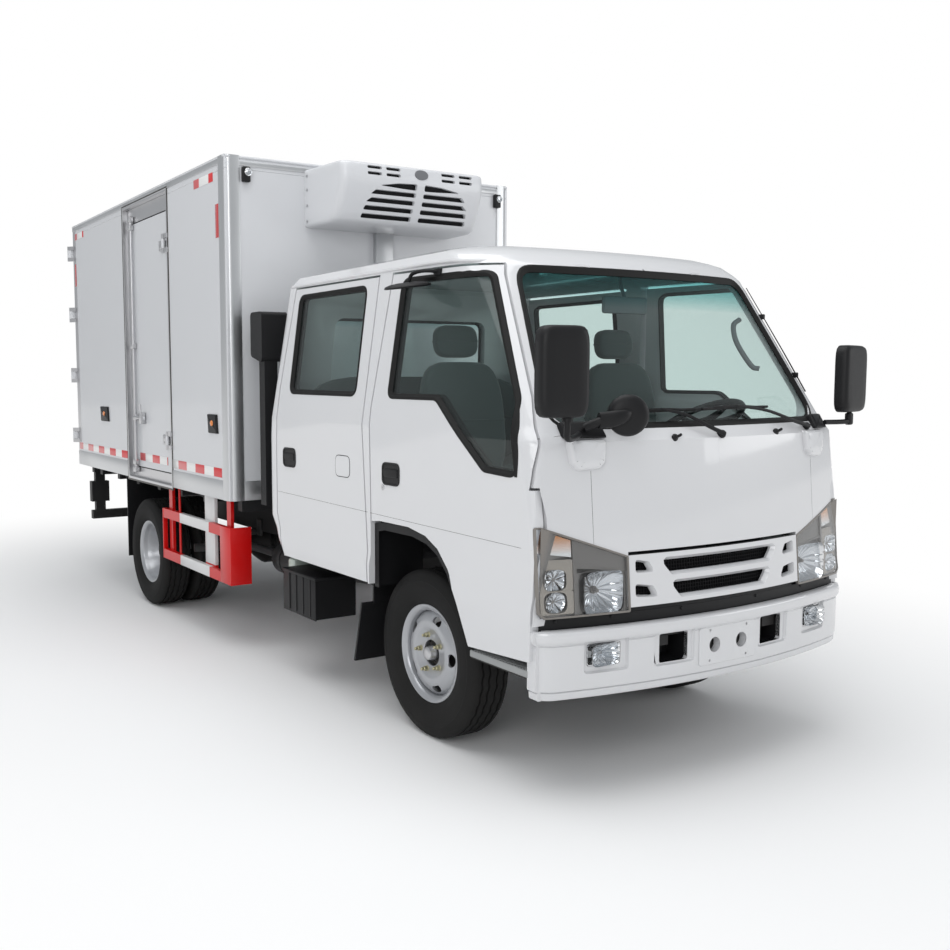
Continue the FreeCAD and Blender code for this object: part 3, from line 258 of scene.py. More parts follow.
class Shape:
    """Collects faces in millimetres and turns them into one piece."""

    def __init__(self):
        self.points = []
        self.faces = []

    def add(self, points, faces):
        k = len(self.points)
        self.points += [tuple(p) for p in points]
        self.faces += [[i + k for i in face] for face in faces]
        return self

    def loft(self, loops, closed=False, foot=True):
        n, rows = len(loops[0]), len(loops)
        faces = []
        for a in range(rows if closed else rows - 1):
            b = (a + 1) % rows
            faces += [[a * n + i, a * n + (i + 1) % n, b * n + (i + 1) % n, b * n + i] for i in range(n)]
        if foot and not closed:
            faces.append(list(range(n))[::-1])
        if not closed:
            faces.append([(rows - 1) * n + i for i in range(n)])
        return self.add([p for loop in loops for p in loop], faces)

    def moulding(self, path, section, where):
        """Closed strip round an outline; the section is a closed list of (outwards, lift)."""
        return self.loft(layers(path, section, where), closed=True)

    def pad(self, path, section, where):
        """Raised or sunk plate; the section runs from its foot to its rim as (outwards, lift)."""
        return self.loft(layers(path, section, where), foot=False)

    def band(self, us, low, high, where, back, front, rows=5):
        """Plate over u, between the curves low(u) and high(u), with its back and front at given lifts."""
        loops = []
        for u in us:
            a, b = (low(u) if callable(low) else low), (high(u) if callable(high) else high)
            vs = steps(a, b, rows)
            loops.append([where(u, v, front) for v in vs] + [where(u, v, back) for v in vs[::-1]])
        return self.loft(loops)

    def tube(self, points, radius, sides=10, smooth=True):
        path = smooth_path(points) if smooth else [Vector(p) for p in points]
        ends = radius if isinstance(radius, list) else [radius, radius]
        radii = steps(ends[0], ends[-1], len(path) - 1)
        ways = [(b - a).normalized() for a, b in zip(path, path[1:])]
        tangents = [ways[0]] + [(a + b).normalized() for a, b in zip(ways, ways[1:])] + [ways[-1]]
        side = tangents[0].cross(Vector((0, 0, 1) if abs(tangents[0].z) < 0.9 else (1, 0, 0))).normalized()
        loops = []
        for p, t, r in zip(path, tangents, radii):
            side = (side - t * side.dot(t)).normalized()
            up = t.cross(side)
            loops.append([p + side * (r * cos(a)) + up * (r * sin(a)) for a in turns(sides)])
        return self.loft(loops)

    def lathe(self, profile, centre, axis="X", sides=48, sign=1, closed=False):
        """Turned form; the profile is a list of (distance along the axis, radius)."""
        loops = []
        for a, r in profile:
            ring = [(max(r, 0.01) * cos(t), max(r, 0.01) * sin(t)) for t in turns(sides)]
            loops.append([Vector(centre) + Vector({"X": (a * sign, u, v), "Y": (u, a * sign, v),
                                                   "Z": (u, v, a * sign)}[axis]) for u, v in ring])
        return self.loft(loops, closed=closed)

    def slab(self, corner, other, radius=0.0):
        """Block between two corners, with rounded edges."""
        low, high = (Vector([pick(pair) for pair in zip(corner, other)]) for pick in (min, max))
        bm = bmesh.new()
        bmesh.ops.create_cube(bm, size=1.0)
        size = high - low
        for v in bm.verts:
            v.co = low + Vector((size[k] * (v.co[k] + 0.5) for k in range(3)))
        if radius > 0:
            bmesh.ops.bevel(bm, geom=bm.edges[:], offset=min(radius, EDGE_SHARE * min(size)), segments=2,
                            profile=0.5, affect="EDGES")
        bm.verts.index_update()
        self.add([v.co.copy() for v in bm.verts], [[v.index for v in f.verts] for f in bm.faces])
        bm.free()
        return self

    def moved(self, centre, degrees, axis, scale=(1, 1, 1)):
        """Scales the shape, turns it about an axis and sets it down at the centre."""
        matrix = Matrix.Translation(centre) @ Matrix.Rotation(radians(degrees), 4, axis)
        matrix = matrix @ Matrix.Diagonal((*scale, 1))
        self.points = [tuple(matrix @ Vector(p)) for p in self.points]
        return self

    def merged(self, other):
        return self.add(other.points, other.faces)

    def mesh(self, name, weld=0.0):
        mesh = bpy.data.meshes.new(name)
        mesh.from_pydata([place(p) for p in self.points], [], self.faces)
        bm = bmesh.new()
        bm.from_mesh(mesh)
        if weld:
            bmesh.ops.remove_doubles(bm, verts=bm.verts[:], dist=weld)
        bmesh.ops.recalc_face_normals(bm, faces=bm.faces[:])
        bm.to_mesh(mesh)
        bm.free()
        return mesh

    def done(self, name, material, body="chassis", bevel=0.0, sharp=35.0, replaces=()):
        mesh = self.mesh(name, WELD)
        mesh.materials.append(material)
        shaded(mesh, sharp)
        piece = added(name, mesh)
        if bevel > 0:
            rounded_edges(piece, bevel)
        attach(piece, body)
        if replaces:
            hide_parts(*replaces)
        return piece


def cut(piece, cutter):
    """Takes a closed shape out of a piece."""
    tool = added("cutter", cutter.mesh("cutter"))
    change = piece.modifiers.new("Openings", "BOOLEAN")
    change.operation = "DIFFERENCE"
    change.solver = "EXACT"
    change.use_self = True
    change.object = tool
    bpy.context.view_layer.update()
    made = bpy.data.meshes.new_from_object(piece.evaluated_get(bpy.context.evaluated_depsgraph_get()))
    piece.modifiers.remove(change)
    piece.data = made
    bpy.data.objects.remove(tool)
    made.validate()
    shaded(made)


# Materials
DUST = (0.22, 0.20, 0.17)
COAT_ROUGH, GLOSS_RANGE, BUMP_HEIGHT, GLASS_ROUGH = 0.06, 0.06, 0.0006, 0.02


class Nodes:
    """Adds linked nodes to a material, a world or a node group."""

    def __init__(self, owner):
        if hasattr(owner, "use_nodes"):
            owner.use_nodes = True
        self.tree = getattr(owner, "node_tree", owner)

    def __getitem__(self, name):
        return self.tree.nodes[name]

    def link(self, source, socket):
        """Links an output, or a node's first one."""
        self.tree.links.new(source.outputs[0] if hasattr(source, "outputs") else source, socket)

    def add(self, kind, links=None, settings=None, **values):
        made = self.tree.nodes.new(kind if "Node" in kind else "ShaderNode" + kind)
        for key, value in (settings or {}).items():
            setattr(made, key, value)
        for key, value in values.items():
            made.inputs[key.replace("_", " ")].default_value = value
        for key, source in (links or {}).items():
            self.link(source, made.inputs[key])
        return made

    def colour(self, source):
        self.link(source, self["Principled BSDF"].inputs["Base Color"])

    def math(self, operation, *sources):
        made = self.add("Math", settings={"operation": operation})
        for socket, source in zip(made.inputs, sources):
            if isinstance(source, float):
                socket.default_value = source
            else:
                self.link(source, socket)
        return made

    def coords(self):
        return self.add("TexCoord").outputs["Object"]

    def axis(self, name):
        return self.add("SeparateXYZ", {0: self.coords()}).outputs[name]

    def blend(self, first, second, factor):
        """Colour from the first, which may be an output, to the second."""
        made = self.add("Mix", {"Factor": factor}, {"data_type": "RGBA"}, B=(*second, 1))
        if isinstance(first, tuple):
            made.inputs["A"].default_value = (*first, 1)
        else:
            self.link(first, made.inputs["A"])
        return made.outputs["Result"]

    def mixed(self, factor, first, second, output):
        self.link(self.add("MixShader", {0: factor, 1: first, 2: second}), output.inputs["Surface"])


def surface(name, colour, rough=0.5, metal=0.0, coat=0.0, tint=0.04, tint_scale=3.0, bump=0.0, bump_scale=300.0,
            dirt=0.0, sheen=0.0, spec=0.5):
    """Principled material with uneven colour and gloss, a fine bump and, low down, a little dust."""
    mat = bpy.data.materials.new(name)
    nodes = Nodes(mat)
    shader = nodes["Principled BSDF"].inputs
    for key, value in (("Metallic", metal), ("Coat Weight", coat), ("Coat Roughness", COAT_ROUGH),
                       ("Specular IOR Level", spec), ("Sheen Weight", sheen)):
        shader[key].default_value = value
    coords = nodes.coords()
    wide = nodes.add("TexNoise", {"Vector": coords}, Scale=tint_scale, Detail=5.0)
    base = nodes.blend(tuple(c * (1 - tint) for c in colour), tuple(min(c * (1 + tint), 1.0) for c in colour), wide)
    if dirt:
        fall = nodes.add("MapRange", {"Value": nodes.axis("Z")}, From_Min=0.15, From_Max=0.9, To_Min=dirt, To_Max=0.0)
        spots = nodes.add("TexNoise", {"Vector": coords}, Scale=9.0, Detail=8.0, Roughness=0.65)
        base = nodes.blend(base, DUST, nodes.math("MULTIPLY", fall, spots))
    nodes.colour(base)
    gloss = nodes.add("MapRange", {"Value": wide}, To_Min=max(rough - GLOSS_RANGE, 0.02), To_Max=rough + GLOSS_RANGE)
    nodes.link(gloss, shader["Roughness"])
    if bump:
        fine = nodes.add("TexNoise", {"Vector": coords}, Scale=bump_scale, Detail=3.0)
        nodes.link(nodes.add("Bump", {"Height": fine}, Strength=bump, Distance=BUMP_HEIGHT), shader["Normal"])
    return mat


def clear(name, tint, top=None):
    """Glass that lets light and sight through and mirrors at a flat angle, with a shaded band if top is given."""
    mat = bpy.data.materials.new(name)
    nodes = Nodes(mat)
    nodes.tree.nodes.remove(nodes["Principled BSDF"])
    see = nodes.add("BsdfTransparent", Color=(*tint, 1))
    shine = nodes.add("BsdfGlossy", Roughness=GLASS_ROUGH)
    facing = nodes.add("LayerWeight", Blend=0.5).outputs["Facing"]
    share = nodes.add("MapRange", {"Value": nodes.math("POWER", facing, 4.0)}, To_Min=0.025, To_Max=0.6)
    if top:
        rise = nodes.add("MapRange", {"Value": nodes.axis("Z")}, From_Min=1.90, From_Max=2.02)
        nodes.link(nodes.blend(tint, top, rise), see.inputs["Color"])
    nodes.mixed(share, see, shine, nodes["Material Output"])
    return mat


def tape_material():
    """Reflective tape in red and white blocks along Y."""
    mat = surface("reflective_tape", (0.75, 0.75, 0.74), rough=0.3, coat=0.4)
    nodes = Nodes(mat)
    block = nodes.math("GREATER_THAN", nodes.math("WRAP", nodes.axis("Y"), 0.3, 0.0), 0.15)
    nodes.colour(nodes.blend((0.78, 0.78, 0.77), (0.62, 0.015, 0.02), block))
    return mat


def turn_signal_material(word):
    """Clear reflector with an orange glow in its upper half."""
    mat = surface("turn_signal_" + word, (0.80, 0.80, 0.80), rough=0.12, metal=0.85)
    nodes = Nodes(mat)
    rise = nodes.add("MapRange", {"Value": nodes.axis("Z")}, From_Min=0.955, From_Max=1.03)
    nodes.colour(nodes.blend((0.85, 0.84, 0.82), (0.80, 0.33, 0.10), rise))
    return mat


PAINT = surface("cab_paint", (0.64, 0.645, 0.66), 0.32, coat=1.0, tint=0.012, bump=0.015, bump_scale=160, dirt=0.06)
PANEL = surface("box_panel", (0.60, 0.61, 0.63), 0.36, coat=0.35, tint=0.015, bump=0.05, bump_scale=45)
BLACK_PAINT = surface("chassis_paint", (0.012, 0.012, 0.013), tint=0.2, bump=0.15, dirt=0.14, spec=0.3)
ALUMINIUM = surface("aluminium_rail", (0.60, 0.61, 0.62), 0.34, metal=1.0)
STEEL = surface("stainless_steel", (0.56, 0.56, 0.57), 0.30, metal=1.0)
CAST = surface("cast_iron", (0.035, 0.033, 0.032), 0.75, metal=0.3, tint=0.3, bump=0.5, bump_scale=140, dirt=0.25)
SPRING = surface("spring_steel", (0.02, 0.02, 0.021), 0.6, tint=0.2, bump=0.2, dirt=0.25)
PLASTIC = surface("black_plastic", (0.009, 0.009, 0.010), 0.45, tint=0.1, bump=0.25, bump_scale=900, spec=0.25)
GREY_PLASTIC = surface("grey_plastic", (0.14, 0.145, 0.155), 0.6, tint=0.08, bump=0.3, bump_scale=700)
CLOTH = surface("seat_cloth", (0.075, 0.09, 0.09), 0.9, tint=0.2, bump=0.6, bump_scale=500, sheen=0.3)
GLASS = clear("window_glass", (0.82, 0.88, 0.87))
SCREEN_GLASS = clear("windscreen_glass", (0.90, 0.945, 0.935), top=(0.36, 0.66, 0.66))
LENS = clear("lamp_lens", (0.93, 0.94, 0.95))
RUBBER = surface("black_rubber", (0.007, 0.007, 0.007), 0.6, tint=0.1, bump=0.1, spec=0.25)
TYRE = surface("tyre_rubber", (0.010, 0.010, 0.0102), 0.75, tint=0.25, tint_scale=8, bump=0.3, bump_scale=220,
               dirt=0.04, spec=0.2)
RIM = surface("rim_paint", (0.42, 0.43, 0.45), 0.32, metal=0.6, coat=0.3, tint=0.05, bump=0.05, dirt=0.06)
RED = surface("guard_red", (0.60, 0.004, 0.004), 0.35, coat=0.25, tint=0.05, bump=0.02, spec=0.3)
WHITE = surface("guard_white", (0.68, 0.68, 0.68), 0.35, coat=0.4, tint=0.02, bump=0.02, dirt=0.12)
TANK = surface("tank_paint", (0.02, 0.02, 0.022), 0.4, tint=0.15, bump=0.1, dirt=0.15, spec=0.35)
CHROME = surface("lamp_reflector", (0.70, 0.71, 0.72), 0.09, metal=1.0, tint=0.02)
ZINC = surface("yellow_zinc", (0.46, 0.43, 0.28), 0.3, metal=0.9, tint=0.1, bump=0.05)
AMBER = surface("amber_lens", (0.75, 0.22, 0.03), 0.2, coat=0.8, tint=0.05)
RED_LENS = surface("red_lens", (0.50, 0.01, 0.012), 0.18, coat=0.5, tint=0.05)
LAMP_GREY = surface("lamp_housing", (0.22, 0.205, 0.19), 0.34, metal=0.45, tint=0.05)
DARK = surface("grille_dark", (0.006, 0.006, 0.007), 0.7, tint=0.2, bump=0.1, spec=0.2)
MIRROR = surface("mirror_face", (0.75, 0.76, 0.78), 0.03, metal=1.0, tint=0.01)
TAPE = tape_material()

BY_SLOT = {
    "white_paint": PAINT, "panel_white": PANEL, "black_paint": BLACK_PAINT, "aluminium_trim": ALUMINIUM,
    "stainless": STEEL, "cast_dark": CAST, "spring_steel": SPRING, "dark_plastic": PLASTIC,
    "grey_plastic": GREY_PLASTIC, "seat_cloth": CLOTH, "glazing": GLASS, "lamp_glass": LENS, "tyre_rubber": TYRE,
    "wheel_paint": RIM, "guard_paint": RED, "rubber_trim": RUBBER, "tank_steel": TANK,
}


def smoothing():
    """Node group that joins the faces of a solid's mesh and shades all but its sharp edges smooth."""
    tree = bpy.data.node_groups.new("Smooth by angle", "GeometryNodeTree")
    for way in ("INPUT", "OUTPUT"):
        tree.interface.new_socket("Geometry", in_out=way, socket_type="NodeSocketGeometry")
    nodes = Nodes(tree)
    merge = nodes.add("GeometryNodeMergeByDistance", {"Geometry": nodes.add("NodeGroupInput")}, Distance=0.00003)
    limit = nodes.add("FunctionNodeCompare", {0: nodes.add("GeometryNodeInputMeshEdgeAngle")},
                      {"data_type": "FLOAT", "operation": "LESS_THAN"})
    limit.inputs[1].default_value = radians(32)
    faces = nodes.add("GeometryNodeSetShadeSmooth", {"Geometry": merge}, {"domain": "FACE"})
    edges = nodes.add("GeometryNodeSetShadeSmooth", {"Geometry": faces, "Shade Smooth": limit}, {"domain": "EDGE"})
    nodes.link(edges, nodes.add("NodeGroupOutput").inputs[0])
    return tree


SMOOTH = smoothing()
for part in frame["record"]["subparts"]:
    solid = NODES[part["node"]]
    solid.data.materials.clear()
    solid.data.materials.append(BY_SLOT[part["material_slot"]])
    solid.modifiers.new("Smooth", "NODES").node_group = SMOOTH
NODES["cab_glass"].data.materials[0] = SCREEN_GLASS
NODES["cab_floor"].data.materials[0] = surface("floor_mat", (0.03, 0.03, 0.032), 0.85, tint=0.15, bump=0.3)


def edged(names, width):
    """Rounds the sharp edges of solids that show."""
    for name in names:
        flat = NODES[name].modifiers.new("Flat faces", "DECIMATE")
        flat.decimate_type = "DISSOLVE"
        flat.angle_limit = radians(0.4)
        rounded_edges(NODES[name], width, 35).harden_normals = True


# Wheels
TYRE_SIDES = 144


def tyre(x, y):
    """Tyre with a ribbed tread and a plain side wall."""
    half = [(66, 204), (74, 221), (84, 232), (92, 248), (96, 262), (97, 264), (99.5, 278), (101.5, 296), (102, 312),
            (101, 326), (102, 328), (101.5, 333), (98, 342), (95, 352), (90, 364), (84, 371), (77, 376.5), (72, 378)]
    for mid in (56, 20):
        half += [(mid + 5.5, 379.2), (mid + 4, 370), (mid - 4, 370), (mid - 5.5, 379.6)]
    profile = [(-a, r) for a, r in half] + half[::-1]
    shape = Shape().lathe(profile, (x, y, TYRE_R), sides=TYRE_SIDES, closed=True)
    for k, (a, r) in enumerate(profile):
        if r < 369 or abs(a) > 66:
            continue
        for i in range(TYRE_SIDES):
            px, py, pz = shape.points[k * TYRE_SIDES + i]
            shape.points[k * TYRE_SIDES + i] = (px + (2.6 if i % 4 < 2 else -2.6), py, pz)
    return shape


def nuts(name, body, x, y, side, ring, shift, radius):
    """Five wheel nuts with their studs, standing outwards along X."""
    shape = Shape()
    for t in turns(5, shift):
        centre = (x, y + ring * cos(t), TYRE_R + ring * sin(t))
        shape.lathe([(0, radius + 3), (2.5, radius + 3), (3, radius), (19, radius), (21.5, radius - 3)], centre,
                    sides=6, sign=side)
        shape.lathe([(21, 7), (33, 7), (35, 5.5)], centre, sides=12, sign=side)
    shape.done(name, ZINC, body, bevel=0.8)


def hand_holes(piece, x, y, side, ring, wide, tall):
    """Cuts a ring of five oval holes through a rim's disc."""
    cutter = Shape()
    for t in turns(5, 0.5):
        c = Vector((0, cos(t), sin(t)))
        s = Vector((0, -sin(t), cos(t)))
        cutter.loft([[Vector((x + side * dx, y, TYRE_R)) + c * (ring + tall * cos(a)) + s * (wide * sin(a))
                      for a in turns(20)] for dx in (-60, 70)])
    cut(piece, cutter)


RIM_OUTER = [(67, 203), (71, 212), (74, 221), (77, 222.5), (79, 220), (77, 212), (72, 203), (66, 197), (60, 193)]
RIM_INNER = [(-60, 193), (-68, 199), (-74, 208), (-77, 216), (-77, 222), (-74, 221), (-70, 210), (-66, 203)]


def shifted(section, distance):
    return [(a + distance, r) for a, r in section]


def front_rim(x, side):
    disc_out = [(38, 193), (45, 187), (54, 178), (63, 166), (69, 152), (72, 138), (72, 122), (69, 110), (64, 102),
                (62, 64), (59, 59)]
    disc_in = [(51, 59), (53, 64), (55, 102), (60, 112), (62, 124), (61, 138), (58, 150), (51, 162), (42, 174),
               (33, 183), (28, 193)]
    return Shape().lathe(RIM_OUTER + disc_out + disc_in + RIM_INNER, (x, 0, TYRE_R), sides=96, sign=side, closed=True)


def rear_rims(x, side):
    """Two rims back to back, each with its disc next to the middle."""
    near = RIM_INNER[:5] + [(-74, 221), (-66, 203)]
    outer = shifted(RIM_OUTER, TWIN_HALF) + [(156, 193), (146, 187), (120, 178), (60, 158), (30, 144), (18, 134),
                                             (14, 124), (12, 60), (2, 60), (2, 144), (20, 152), (60, 168),
                                             (110, 184), (130, 193)] + shifted(near, TWIN_HALF)
    inner = [(-2, 60), (-2, 144), (-20, 152), (-60, 168), (-94, 190), (-98, 193)]
    inner += shifted([(60, 193), (66, 197), (72, 203), (77, 212), (79, 220), (77, 222.5), (74, 221), (67, 203)],
                     -TWIN_HALF)
    inner += shifted(RIM_INNER, -TWIN_HALF)[::-1]
    inner += [(-110, 193), (-104, 188), (-90, 178), (-36, 150), (-20, 136), (-14, 124), (-12, 60)]
    shape = Shape()
    for profile in (outer, inner):
        shape.lathe(profile, (x, WHEELBASE, TYRE_R), sides=96, sign=side, closed=True)
    return shape


def wheels():
    for side, word in SIDES:
        x, body = side * FRONT_WHEEL_X, "wheel_front_" + word
        centre = (x, 0, TYRE_R)
        tyre(x, 0).done("tyre_front_" + word + "_rubber", TYRE, body, sharp=28, replaces=["tyre_front_" + word])
        rim = front_rim(x, side).done("rim_front_" + word + "_disc", RIM, body, replaces=["rim_front_" + word])
        hand_holes(rim, x, 0, side, 158, 30, 20)
        nuts("nuts_front_" + word, body, x + side * 62, 0, side, 83, 0.05, 11.5)
        Shape().lathe([(34, 58), (38, 56), (38, 46), (30, 44)], centre, sign=side).done(
            "hub_front_" + word, CAST, body)
        Shape().lathe([(30, 36), (60, 35), (66, 31), (84, 29), (88, 25), (90, 14), (90, 0)], centre, sides=40,
                      sign=side).done("hub_cap_front_" + word, STEEL, body)
        x, body = side * REAR_TWIN_X, "wheels_rear_" + word
        pair = tyre(x + TWIN_HALF, WHEELBASE).merged(tyre(x - TWIN_HALF, WHEELBASE))
        pair.done("tyres_rear_" + word + "_rubber", TYRE, body, sharp=28, replaces=["tyres_rear_" + word])
        rim = rear_rims(x, side).done("rims_rear_" + word + "_discs", RIM, body, replaces=["rims_rear_" + word])
        hand_holes(rim, x, WHEELBASE, side, 166, 24, 14)
        nuts("nuts_rear_" + word, body, x + side * 12, WHEELBASE, side, 98, 0.3, 13.0)
        Shape().lathe([(-200, 60), (-200, 138), (-30, 138), (-16, 120), (-14, 76), (8, 74), (100, 66), (112, 58),
                       (118, 40), (118, 0)], (x, WHEELBASE, TYRE_R), sign=side).done("hub_rear_" + word, CAST, body)


# Glass surrounds, seals and handles
def window_trim():
    section = [(-19, -44), (-18, -10), (-11, -4), (-5, 2.5), (3, 3.2), (7, 1), (7, -3), (-12, -44)]
    for side, word in SIDES:
        where = on_side(side)
        for name, path, radii in (("front_", FRONT_WINDOW, FRONT_WINDOW_R), ("rear_", REAR_WINDOW, 50)):
            Shape().moulding(divided(rounded(path, radii, 8), 60), section, where).done(
                "seal_" + name + word, RUBBER, "door_" + name + word)
        Shape().band(steps(1240, 1500, 20), lambda z: -736 + (z - 1240) * 0.154,
                     lambda z: -750 + (z - 1240) * 0.154 - 22 * sin(pi * (z - 1240) / 260),
                     lambda z, y, lift: where(y, z, lift), -4, 2.6).done(
            "seal_filler_" + word, RUBBER, "door_front_" + word)
    Shape().moulding(divided(rounded(SCREEN, 90, 8), 50),
                     [(-18, -14), (-18, -9.5), (-10, -4), (-3, 1.5), (6, 2), (11, -1), (11, -5), (0, -16)],
                     on_front).done("seal_windscreen", RUBBER)
    Shape().moulding(divided(rounded(BACK_WINDOW, 60, 8), 60),
                     [(-14, -20), (-14, -8), (-4, 2), (12, 3), (16, 0), (16, -4)], on_back).done(
        "seal_back_window", RUBBER)


def door_pulls():
    """Pull, lock and fuel flap of the doors."""
    for side, word in SIDES:
        where = on_side(side)
        for name, y, z in (("front_", 146, 1183), ("rear_", 1172, 1194)):
            pull = Shape().pad(rounded(rectangle(y - 72, y + 72, z - 50, z + 50), 30),
                               [(2, -6), (2, 3), (0, 5), (-5, 5), (-9, 1)], where)
            pull.pad(rounded(rectangle(y - 62, y + 56, z - 16, z + 24), 12, 4),
                     [(0, -4), (0, 4), (-3, 6.5), (-6, 7)], where)
            pull.done("pull_" + name + word, PLASTIC, "door_" + name + word)
        Shape().lathe([(-3, 13), (2, 13), (3.5, 11), (3.5, 5), (1, 4), (1, 0)], where(215, 1118, 0), sides=28,
                      sign=side).done("keyhole_" + word, STEEL, "door_front_" + word)
        path = rounded(rectangle(520, 662, 1136, 1240), 32)
        Shape().moulding(path, [(1.6, -2), (1.6, 0.7), (-1.6, 0.7), (-1.6, -2)], where).done(
            "lid_gap_" + word, DARK, "door_rear_" + word)
        Shape().pad(offset(path, -1.8), [(0, -2), (0, 1.2), (-1.2, 2.2), (-3, 2.4)], where).done(
            "lid_" + word, PAINT, "door_rear_" + word)


# Headlamps
RING_SIDES = 64


def lamp_top(x):
    return 931 + (abs(x) - 494) * 0.3486


def superellipse(t, power):
    """Distance from the middle to a rounded square of half width 1, at an angle."""
    return 1 / (abs(cos(t)) ** power + abs(sin(t)) ** power) ** (1 / power)


def square(half, radius):
    """Points of a rounded square about its middle, one for each of evenly spaced angles."""
    power = 2 + 6 * (1 - radius / half)
    return [(half * superellipse(t, power) * cos(t), half * superellipse(t, power) * sin(t))
            for t in turns(RING_SIDES)]


def bowl(shape, x, z, half, radius, rim_y, back_y, flutes, side, wide):
    """Fluted reflector, open to the front."""
    loops = []
    for size, share in ((1.0, 0.0), (0.97, 0.12), (0.88, 0.42), (0.68, 0.76), (0.42, 0.94), (0.16, 1.0)):
        loop = []
        for t, (u, v) in zip(turns(RING_SIDES), square(half, radius)):
            ripple = 4.2 * size * (1 - size * 0.3) * cos(flutes * t) if 0 < share < 1 else 0.0
            loop.append((side * (x + u * size * wide), rim_y + (back_y - rim_y) * share + ripple, z + v * size))
        loops.append(loop)
    back = [[(q[0], q[1] + 3, q[2]) for q in loop] for loop in loops[::-1]]
    shape.loft(loops + back, closed=True)


def ring_plate(shape, x, z, outer, hole, radius, where, back, front, wide):
    """Flat plate with a rounded square hole; outer is (left, right, low, high) about the middle."""
    left, right, low, high = outer
    loops = [[], [], [], []]
    for t, (u, v) in zip(turns(RING_SIDES), square(hole, radius)):
        c, n = cos(t), sin(t)
        reach = min((right if c > 0 else left) / max(abs(c), 1e-6), (high if n > 0 else low) / max(abs(n), 1e-6))
        rim, edge = (x + u * wide, z + v), (x + c * reach, z + n * reach)
        for loop, point, lift in zip(loops, (rim, rim, edge, edge), (back, front, front, back)):
            loop.append(where(*point, lift))
    shape.loft(loops, closed=True)


def headlamps():
    main_x, main_z, main_wide, column_x, column_wide = 607, 802, 1.18, 807, 1.2
    line = lambda x: 880 + (x - 505) * 0.108
    for side, word in SIDES:
        where = on_front_side(side)
        Shape().band(steps(LAMP_IN, LAMP_OUT - 16, 8), LAMP_LOW, lambda x: lamp_top(x) - 3,
                     lambda x, z, lift: (side * x, LAMP_BACK_Y - lift, z), 0, 2).done(
            "lamp_tray_" + word, LAMP_GREY, replaces=["headlamps"])
        shape = Shape()
        ring_plate(shape, main_x, main_z, (109, 112, 82, 78), 84, 34, where, -16, -12, main_wide)
        shape.band(steps(498, 719, 6), lambda x: line(x) + 4, lambda x: lamp_top(x) - 6, where, -14, -10)
        shape.band([498, 719], lambda x: line(x) - 4, lambda x: line(x) + 4, where, -16, -6)
        shape.band([719, 733], 722, lambda x: lamp_top(x) - 4, where, -18, -3)
        for x in range(530, 663, 44):
            shape.lathe([(-13, 3), (-10, 3), (-8, 1.5), (-8, 0)], where(x, line(x) + 17, -2), "Y", 10, -1)
        shape.done("lamp_bezel_" + word, LAMP_GREY, bevel=1.2)
        shape, column = Shape(), Shape()
        bowl(shape, main_x, main_z, 83, 36, -921, LAMP_BACK_Y - 4, 16, side, main_wide)
        for z, radius, low, high in ((776, 38, 44, 44), (860, 20, 40, 76)):
            bowl(shape, column_x, z, 39, radius, front_y(818, z) + 5, LAMP_BACK_Y - 2, 8, side, column_wide)
            ring_plate(column, column_x, z, (73, 63, low, high), 39, 30, where, -7, -5, column_wide)
        shape.done("lamp_reflector_" + word, CHROME, sharp=50)
        column.done("lamp_column_" + word, surface("lamp_column_" + word, (0.40, 0.36, 0.31), 0.22, metal=0.6),
                    bevel=1.0)
        Shape().band(steps(738, 876, 8), lambda x: 943 + (x - 735) * 0.146, lambda x: lamp_top(x) - 10, where, -8, -5,
                     rows=14).done("lamp_turn_back_" + word, turn_signal_material(word))
        shape = Shape()
        for profile in ([(0, 9), (16, 9), (24, 7), (28, 3), (29, 0)], [(0, 15), (3, 15), (4, 9)]):
            shape.lathe(profile, (side * main_x, LAMP_BACK_Y - 4, main_z), "Y", 24, -1)
        shape.done("lamp_bulb_" + word, LAMP_GREY)
        Shape().band(steps(LAMP_IN + 1, LAMP_BEND, 12) + [866, 873, 879, LAMP_OUT], LAMP_LOW + 2,
                     lambda x: lamp_top(x) - 4, where, -1, 2.5, rows=6).done("lamp_cover_" + word, LENS)
        path = [(LAMP_IN, LAMP_LOW), (LAMP_BEND, LAMP_LOW), (LAMP_OUT, LAMP_LOW + 20),
                (LAMP_OUT, lamp_top(LAMP_OUT) - 8), (LAMP_BEND, lamp_top(LAMP_BEND)), (LAMP_IN, lamp_top(LAMP_IN))]
        Shape().moulding(divided(rounded(path, 8, 3), 45), [(-7, -4), (-6, 3.5), (1, 3.5), (2, -4)], where).done(
            "lamp_rim_" + word, LAMP_GREY)


# Grille and bumper
def slot(shape, path, radius, flare):
    """Adds the form of an opening in the grille that widens towards the front."""
    section = ((flare + 3, 40), (flare + 3, 8), (flare, 2.2), (0, -15), (0, -90))
    shape.loft(layers(divided(rounded(path, radius, 4), 40), section, on_front))


